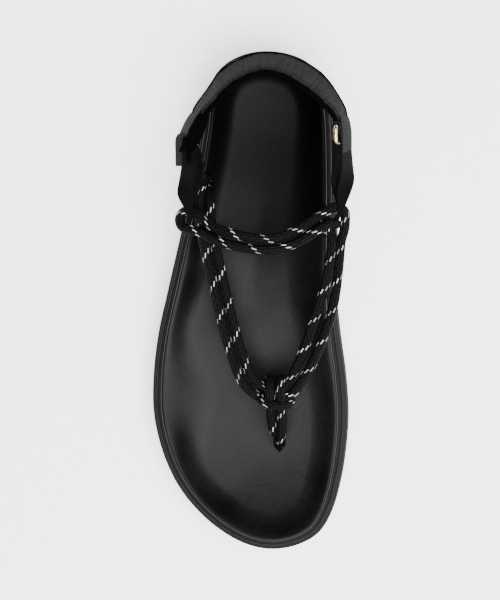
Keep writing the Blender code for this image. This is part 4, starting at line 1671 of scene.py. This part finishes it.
@dataclass
class FastenerTab:
    """Blunt hook-and-loop end, folded forward outside the outer webbing."""

    form: UpperForm
    ring: WireRing
    length: float = 0.0155
    thickness: float = 0.0026
    heading: Row = (0.02, -1, 0)
    turn_share: float = 0.16

    def build(self) -> Piece:
        """Sweep the tab."""
        form = self.form
        _rear, bar, way = self.ring.bars()
        _up, side = self.ring.axes()
        start = bar + side * (form.ring_wire / 2 + 2 * form.gap + self.thickness / 2)
        forward = Vector(self.heading).normalized()
        frames = []
        for share in (0.0, 0.12, 0.25, 0.5, 0.75, 0.94, 1.0):
            thin = 0.75 if share in (0.0, 1.0) else 1.0
            bend = way.lerp(forward, min(1.0, share * 3)).normalized()
            bent = way * min(share, self.turn_share) + forward * max(0.0, share - self.turn_share)
            spot = start + bent * self.length
            _bend, across, tall = WebbingLoop.layer(bend, form.ring_lean, self.ring.side.value)
            height = form.webbing_height / 2 * (0.9 if share == 1.0 else 1.0)
            frames.append((spot, across * self.thickness / 2 * thin, tall * height))
        return Band(20, 0.4, parts=4).build("fastener_tab", frames)


@dataclass
class HeelStrap:
    """Padded band that leans in over the heel, with a turned eye at each ring."""

    form: UpperForm
    rings: tuple[WireRing, WireRing]
    height: float = 0.021
    thickness: float = 0.004
    cover_thickness: float = 0.0009
    piping_radius: float = 0.00045
    roll_radius: float = 0.0013
    eye_steps: int = 24
    crease_slant: tuple[float, float] = (17, 260)
    crease_depths: tuple[float, float] = (0.00012, 0.00007)
    crease_start: float = 0.004
    crease_full: float = 0.016
    cover_reaches: tuple[float, float] = (0.0045, 0.0080)
    fold_behind: tuple[Row, ...] = (
        (-0.0110, 0.0000, -0.0040, 0.0018),
        (-0.0060, -0.0004, -0.0014, 0.0026),
        (-0.0010, -0.0004, 0.0, 0.0034),
    )
    fold_ahead: tuple[Row, ...] = (
        (0.0010, 0.0000, 0.0, 0.0038),
        (0.0050, 0.0004, -0.0012, 0.0034),
        (0.0080, 0.0010, -0.0040, 0.0022),
    )
    route: tuple[Row, ...] = (
        (0.126, -0.334, 1.085, 0.78, 1.00, 20),
        (0.098, -0.274, 1.155, 0.88, 1.00, 22),
        (0.067, -0.204, 1.225, 0.98, 1.00, 27),
        (0.047, -0.117, 1.285, 1.03, 1.00, 28),
        (0.037, -0.021, 1.300, 1.03, 1.00, 28),
        (0.041, 0.076, 1.290, 1.05, 1.00, 29),
        (0.057, 0.166, 1.255, 1.06, 1.00, 30),
        (0.080, 0.247, 1.200, 1.00, 1.00, 30),
        (0.105, 0.303, 1.145, 0.88, 1.00, 25),
        (0.128, 0.345, 1.085, 0.75, 0.98, 20),
    )

    def frames(self, parts: int = 10) -> list[Frame]:
        """Frames from the outer ring to the inner one.

        Args:
            parts: Steps between two rows of the route.

        Returns:
            The frames.
        """
        form = self.form
        ends = []
        for ring in self.rings:
            rear, _front, way = ring.bars()
            ends.append(rear - way * (form.ring_wire / 2 + form.gap + form.webbing_thickness / 2))
            ends.append(ends[-1] - way * form.webbing_thickness)
        middles = ends[:2] + [form.place(*row[:3]) for row in self.route] + [ends[3], ends[2]]
        tall_end = [form.webbing_height * 0.47] * 2
        thick_end = [form.webbing_thickness] * 2
        tall_row = tall_end + [row[3] * self.height / 2 for row in self.route] + tall_end
        thick_row = thick_end + [row[4] * self.thickness / 2 for row in self.route] + thick_end
        lean_end = [form.ring_lean] * 2
        lean_row = lean_end + [row[5] for row in self.route] + lean_end
        keys = list(range(len(middles)))
        result = []
        for number in range(parts * (len(middles) - 1) + 1):
            key = number / parts
            spots = []
            for offset in (0.0, 0.1, -0.1):
                at = min(keys[-1], max(0, key + offset))
                spots.append(Vector([read_table(keys, [m[axis] for m in middles], at) for axis in range(3)]))
            way = (spots[1] - spots[2]).normalized()
            inward = -UP.cross(way).normalized()
            lean = math.radians(read_table(keys, lean_row, key))
            tall = UP * math.cos(lean) + inward * math.sin(lean)
            thick = inward * math.cos(lean) - UP * math.sin(lean)
            half_thick = read_table(keys, thick_row, key)
            half_tall = read_table(keys, tall_row, key)
            result.append((spots[0], thick * half_thick, tall * half_tall))
        return result

    def crease(self, piece: Piece) -> None:
        """Press soft wrinkles into the pad, away from the frame's axis in the middle of the heel."""
        for corner in piece.data.vertices:
            flat = Vector((corner.co.x, corner.co.y, 0))
            angle = math.atan2(flat.x, flat.y)
            slant = angle * self.crease_slant[0] + corner.co.z * self.crease_slant[1]
            broad, fine = self.crease_depths
            depth = broad * math.sin(slant) + fine * math.sin(2.3 * slant + 1.1)
            fade = smooth_step(corner.co.y, self.crease_start, self.crease_full)
            corner.co += flat.normalized() * depth * fade

    def line(self, piece: Piece) -> None:
        """Give the pad its two finishes, the lining on what faces the foot."""
        dressed(dressed(piece, STRAP_FACE), LINING)
        for face in piece.data.polygons:
            inward = -Vector((face.center.x, face.center.y, 0)).normalized()
            if face.normal.dot(inward) > 0.02:
                face.material_index = 1

    def sheet(self, name: str, frames: Sequence[Frame], finish: Finish, squareness: float = 0.4) -> Piece:
        """One thin layer of textile, swept smoothly through frames.

        Args:
            name: The layer's name.
            frames: Its frames.
            finish: Its finish.
            squareness: 1 for a round section, less for a flat one.

        Returns:
            The layer, with its finish.
        """
        return dressed(Band(16, squareness, parts=5).build(name, frames), finish)

    def edge_cord(
        self,
        name: str,
        frames: Sequence[Frame],
        at: tuple[float, float],
        radii: Sequence[float],
        sides: int,
    ) -> Piece:
        """Round cord of lining laid along the strap.

        Args:
            name: The cord's name.
            frames: The strap's frames beside it.
            at: Its place, as shares of the strap's half height and half thickness.
            radii: Its radius at each frame.
            sides: How many points go round it.

        Returns:
            The cord, with its finish.
        """
        line = []
        for (place, thick, tall), radius in zip(frames, radii):
            spot = place + tall * at[0] + thick * at[1]
            line.append((spot, thick.normalized() * radius, tall.normalized() * radius))
        return dressed(Band(sides, 1.0).build(name, line), LINING)

    def piping(self, frames: Sequence[Frame]) -> Piece:
        """Thin rolled seam along the outer face, near its lower edge."""
        beside = frames[12:-12]
        radii = [self.piping_radius] * len(beside)
        return self.edge_cord("strap_piping", beside, (-0.72, -0.97), radii, 8)

    def roll(self, frames: Sequence[Frame]) -> Piece:
        """Rough lining rolled over the strap's upper edge."""
        beside = frames[10:-10]
        radii = []
        for number in range(len(beside)):
            swell = 1 + 0.13 * math.sin(number * 2.3) + 0.09 * math.sin(number * 1.1)
            radii.append(self.roll_radius * swell)
        return self.edge_cord("strap_roll", beside, (0.93, 0.55), radii, 14)

    def eye(self, ring: WireRing) -> Piece:
        """Short loop of webbing round a ring's rear bar.

        Args:
            ring: The ring.

        Returns:
            The loop, with its finish.
        """
        form = self.form
        rear, _front, way = ring.bars()
        up, side = ring.axes()
        middle = form.ring_wire / 2 + form.gap + form.webbing_thickness / 2
        frames = []
        for step in range(self.eye_steps):
            angle = 2 * math.pi * step / self.eye_steps
            out = way * math.cos(angle) + side * math.sin(angle)
            half = out * form.webbing_thickness / 2
            frames.append((rear + out * middle, half, up * form.webbing_height / 2))
        return dressed(Band(12, 0.4, closed=True).build("strap_eye", frames), STRAP_FACE)

    def fold(self, ring: WireRing) -> Piece:
        """Textile folded over the top of a ring, from the strap's end to its turned end.

        Args:
            ring: The ring.

        Returns:
            The fold, with its finish.
        """
        form = self.form
        rear, front, way = ring.bars()
        up, out = ring.axes()
        top = form.webbing_height / 2 + form.ring_wire + form.gap + self.cover_thickness / 2
        half = up * self.cover_thickness / 2
        frames = []
        for bar, rows in ((rear, self.fold_behind), (front, self.fold_ahead)):
            for ahead, aside, rise, reach in rows:
                frames.append((bar + way * ahead + out * aside + up * (top + rise), half, out * reach))
        return self.sheet("strap_fold", frames, LINING, 0.8)

    def flap(self, ring: WireRing) -> Piece:
        """Inner layer of textile that runs on past a ring, low on its inner side.

        Args:
            ring: The ring.

        Returns:
            The layer, with its finish.
        """
        form = self.form
        rear, front, way = ring.bars()
        up, out = ring.axes()
        middle = -form.ring_wire / 2 - form.gap - form.webbing_thickness - self.cover_thickness
        shift = out * middle - up * form.webbing_height * 0.32
        tall = up * form.webbing_height * 0.38
        half = out * self.cover_thickness / 2
        frames = [(rear - way * 0.0070 + shift - out * middle * 0.6, half, tall * 0.9)]
        frames += [(rear - way * 0.0030 + shift, half, tall), (rear + shift, half, tall)]
        frames += [(front + shift, half, tall), (front + way * 0.0040 + shift, half, tall * 0.95)]
        return self.sheet("strap_flap", frames, LINING)

    def cover(self, ring: WireRing, reach: float) -> Piece:
        """Outer layer of textile that reaches on past a ring.

        Args:
            ring: The ring.
            reach: How far it goes past the front bar.

        Returns:
            The layer, with its finish.
        """
        rear, front, way = ring.bars()
        up, out = ring.axes()
        tall = up * self.form.webbing_height / 2
        half = self.cover_thickness / 2
        behind = ((-0.0075, 0.0004, 0.80), (-0.0035, 0.0020, 0.92), (0.0012, 0.0026, 1.0))
        beyond = ((-0.0012, 0.0026, 1.0), (reach * 0.5, 0.0024, 0.98), (reach, 0.0015, 0.92))
        frames = [(rear + way * a + out * o, out * half, tall * share) for a, o, share in behind]
        frames.append(((rear + front) / 2 + out * 0.0024, out * (half + 0.0004), tall))
        frames += [(front + way * a + out * o, out * half, tall * share) for a, o, share in beyond]
        return self.sheet("strap_cover", frames, STRAP_FACE)

    def build(self) -> Piece:
        """Model the pad, line its inner face, and add the eyes and covers."""
        frames = self.frames()
        piece = Band(32, 0.55).build("padded_heel_strap", frames)
        self.crease(piece)
        self.line(piece)
        extras = [self.piping(frames), self.roll(frames), self.fold(self.rings[0])]
        for ring, reach in zip(self.rings, self.cover_reaches):
            extras += [self.eye(ring), self.cover(ring, reach), self.flap(ring)]
        piece = join("padded_heel_strap", [piece, *extras])
        settle(piece, STRAP_FACE, "strap_textile", "heel_strap")
        return piece


# The studio


@dataclass
class Studio:
    """Pale floor, soft light from above and the camera over the shoe."""

    target: Row = (-0.0107, -0.0877, 0.02)
    eye: Row = (0.0471, -0.0590, 1.5)
    lens: float = 172.0
    floor_size: float = 8.0
    floor_colour: Colour = (0.90, 0.90, 0.90)
    softbox_place: Row = (0.50, -0.75, 2.1)
    softbox_size: float = 2.1
    softbox_power: float = 232.0
    surroundings: float = 0.16

    def camera(self) -> None:
        """The photograph's camera, straight over the pair and turned to this shoe."""
        deselect()
        bpy.ops.object.camera_add(location=self.eye)
        camera = bpy.context.object
        camera.name = "camera_from_above"
        back = (Vector(self.eye) - Vector(self.target)).normalized()
        right = Vector((0, 1, 0)).cross(back).normalized()
        camera.rotation_euler = Matrix((right, back.cross(right), back)).transposed().to_euler()
        camera.data.lens = self.lens
        camera.data.sensor_width = 36.0
        bpy.context.scene.camera = camera

    def softbox(self, name: str, place: Row, size: float, power: float) -> None:
        """A square area light that faces the shoe.

        Args:
            name: Its name.
            place: Where it hangs.
            size: Its side, in metres.
            power: In watts.
        """
        deselect()
        bpy.ops.object.light_add(type="AREA", location=place)
        light = bpy.context.object
        light.name = name
        light.data.shape = "SQUARE"
        light.data.size = size
        light.data.energy = power
        light.rotation_euler = (Vector(self.target) - Vector(place)).to_track_quat("-Z", "Y").to_euler()

    def floor(self) -> None:
        """A wide plain floor."""
        deselect()
        bpy.ops.mesh.primitive_plane_add(size=self.floor_size, location=(0, 0, 0))
        floor = bpy.context.object
        floor.name = "floor"
        sweep = Backdrop("pale_floor", self.floor_colour, 0.9, specular=0.2)
        floor.data.materials.append(sweep.material())

    def build(self) -> None:
        """Set up floor, lights, surroundings and camera."""
        self.floor()
        self.softbox("softbox_above", self.softbox_place, self.softbox_size, self.softbox_power)
        world = bpy.data.worlds.new("studio")
        world.use_nodes = True
        back = world.node_tree.nodes["Background"]
        back.inputs["Color"].default_value = (1.0, 1.0, 1.0, 1.0)
        back.inputs["Strength"].default_value = self.surroundings
        bpy.context.scene.world = world
        self.camera()


INNER_RING_ROW: Row = (0.1740, 0.3610, 1.055, -88)
OUTER_RING_ROW: Row = (0.1660, -0.3840, 1.055, -114)
INNER_WEBBING_ROWS: tuple[Row, ...] = (
    (0.2150, 0.3640, 1.050, 1.05, 1.00, 22),
    (0.2400, 0.3660, 1.042, 1.10, 0.98, 26),
    (0.2650, 0.3660, 1.030, 1.20, 0.80, 42),
    (0.2900, 0.3600, 1.005, 1.50, 0.50, 74),
)
OUTER_WEBBING_ROWS: tuple[Row, ...] = (
    (0.2150, -0.3820, 1.045, 1.05, 1.00, 30),
    (0.2430, -0.3770, 1.035, 1.05, 0.98, 36),
    (0.2680, -0.3880, 1.020, 1.20, 0.84, 42),
    (0.2920, -0.4020, 1.005, 1.50, 0.60, 74),
)
INNER_EYE: Row = (0.3239, 0.3548, 0.9904, -116, 0.0006, 0.176)
OUTER_EYE: Row = (0.3301, -0.3885, 0.9891, -102, 0.0005, 0.178)


def main() -> None:
    """Build the sandal from the sole up, then the studio."""
    logging.basicConfig(level=logging.INFO, format="%(name)s: %(message)s")
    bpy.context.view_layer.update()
    sole = SoleForm()
    upper = UpperForm(sole)
    Outsole(sole).build()
    Midsole(sole).build()
    Footbed(sole).build()
    RopeUpper(upper).build()
    ring_inner = WireRing(upper, Side.INNER, INNER_RING_ROW)
    ring_outer = WireRing(upper, Side.OUTER, OUTER_RING_ROW)
    ring_inner.build()
    ring_outer.build()
    WebbingLoop(upper, ring_inner, INNER_WEBBING_ROWS, INNER_EYE).build()
    tab = FastenerTab(upper, ring_outer).build()
    WebbingLoop(upper, ring_outer, OUTER_WEBBING_ROWS, OUTER_EYE).build([tab])
    HeelStrap(upper, (ring_outer, ring_inner)).build()
    Studio().build()


if __name__ == "__main__":
    main()
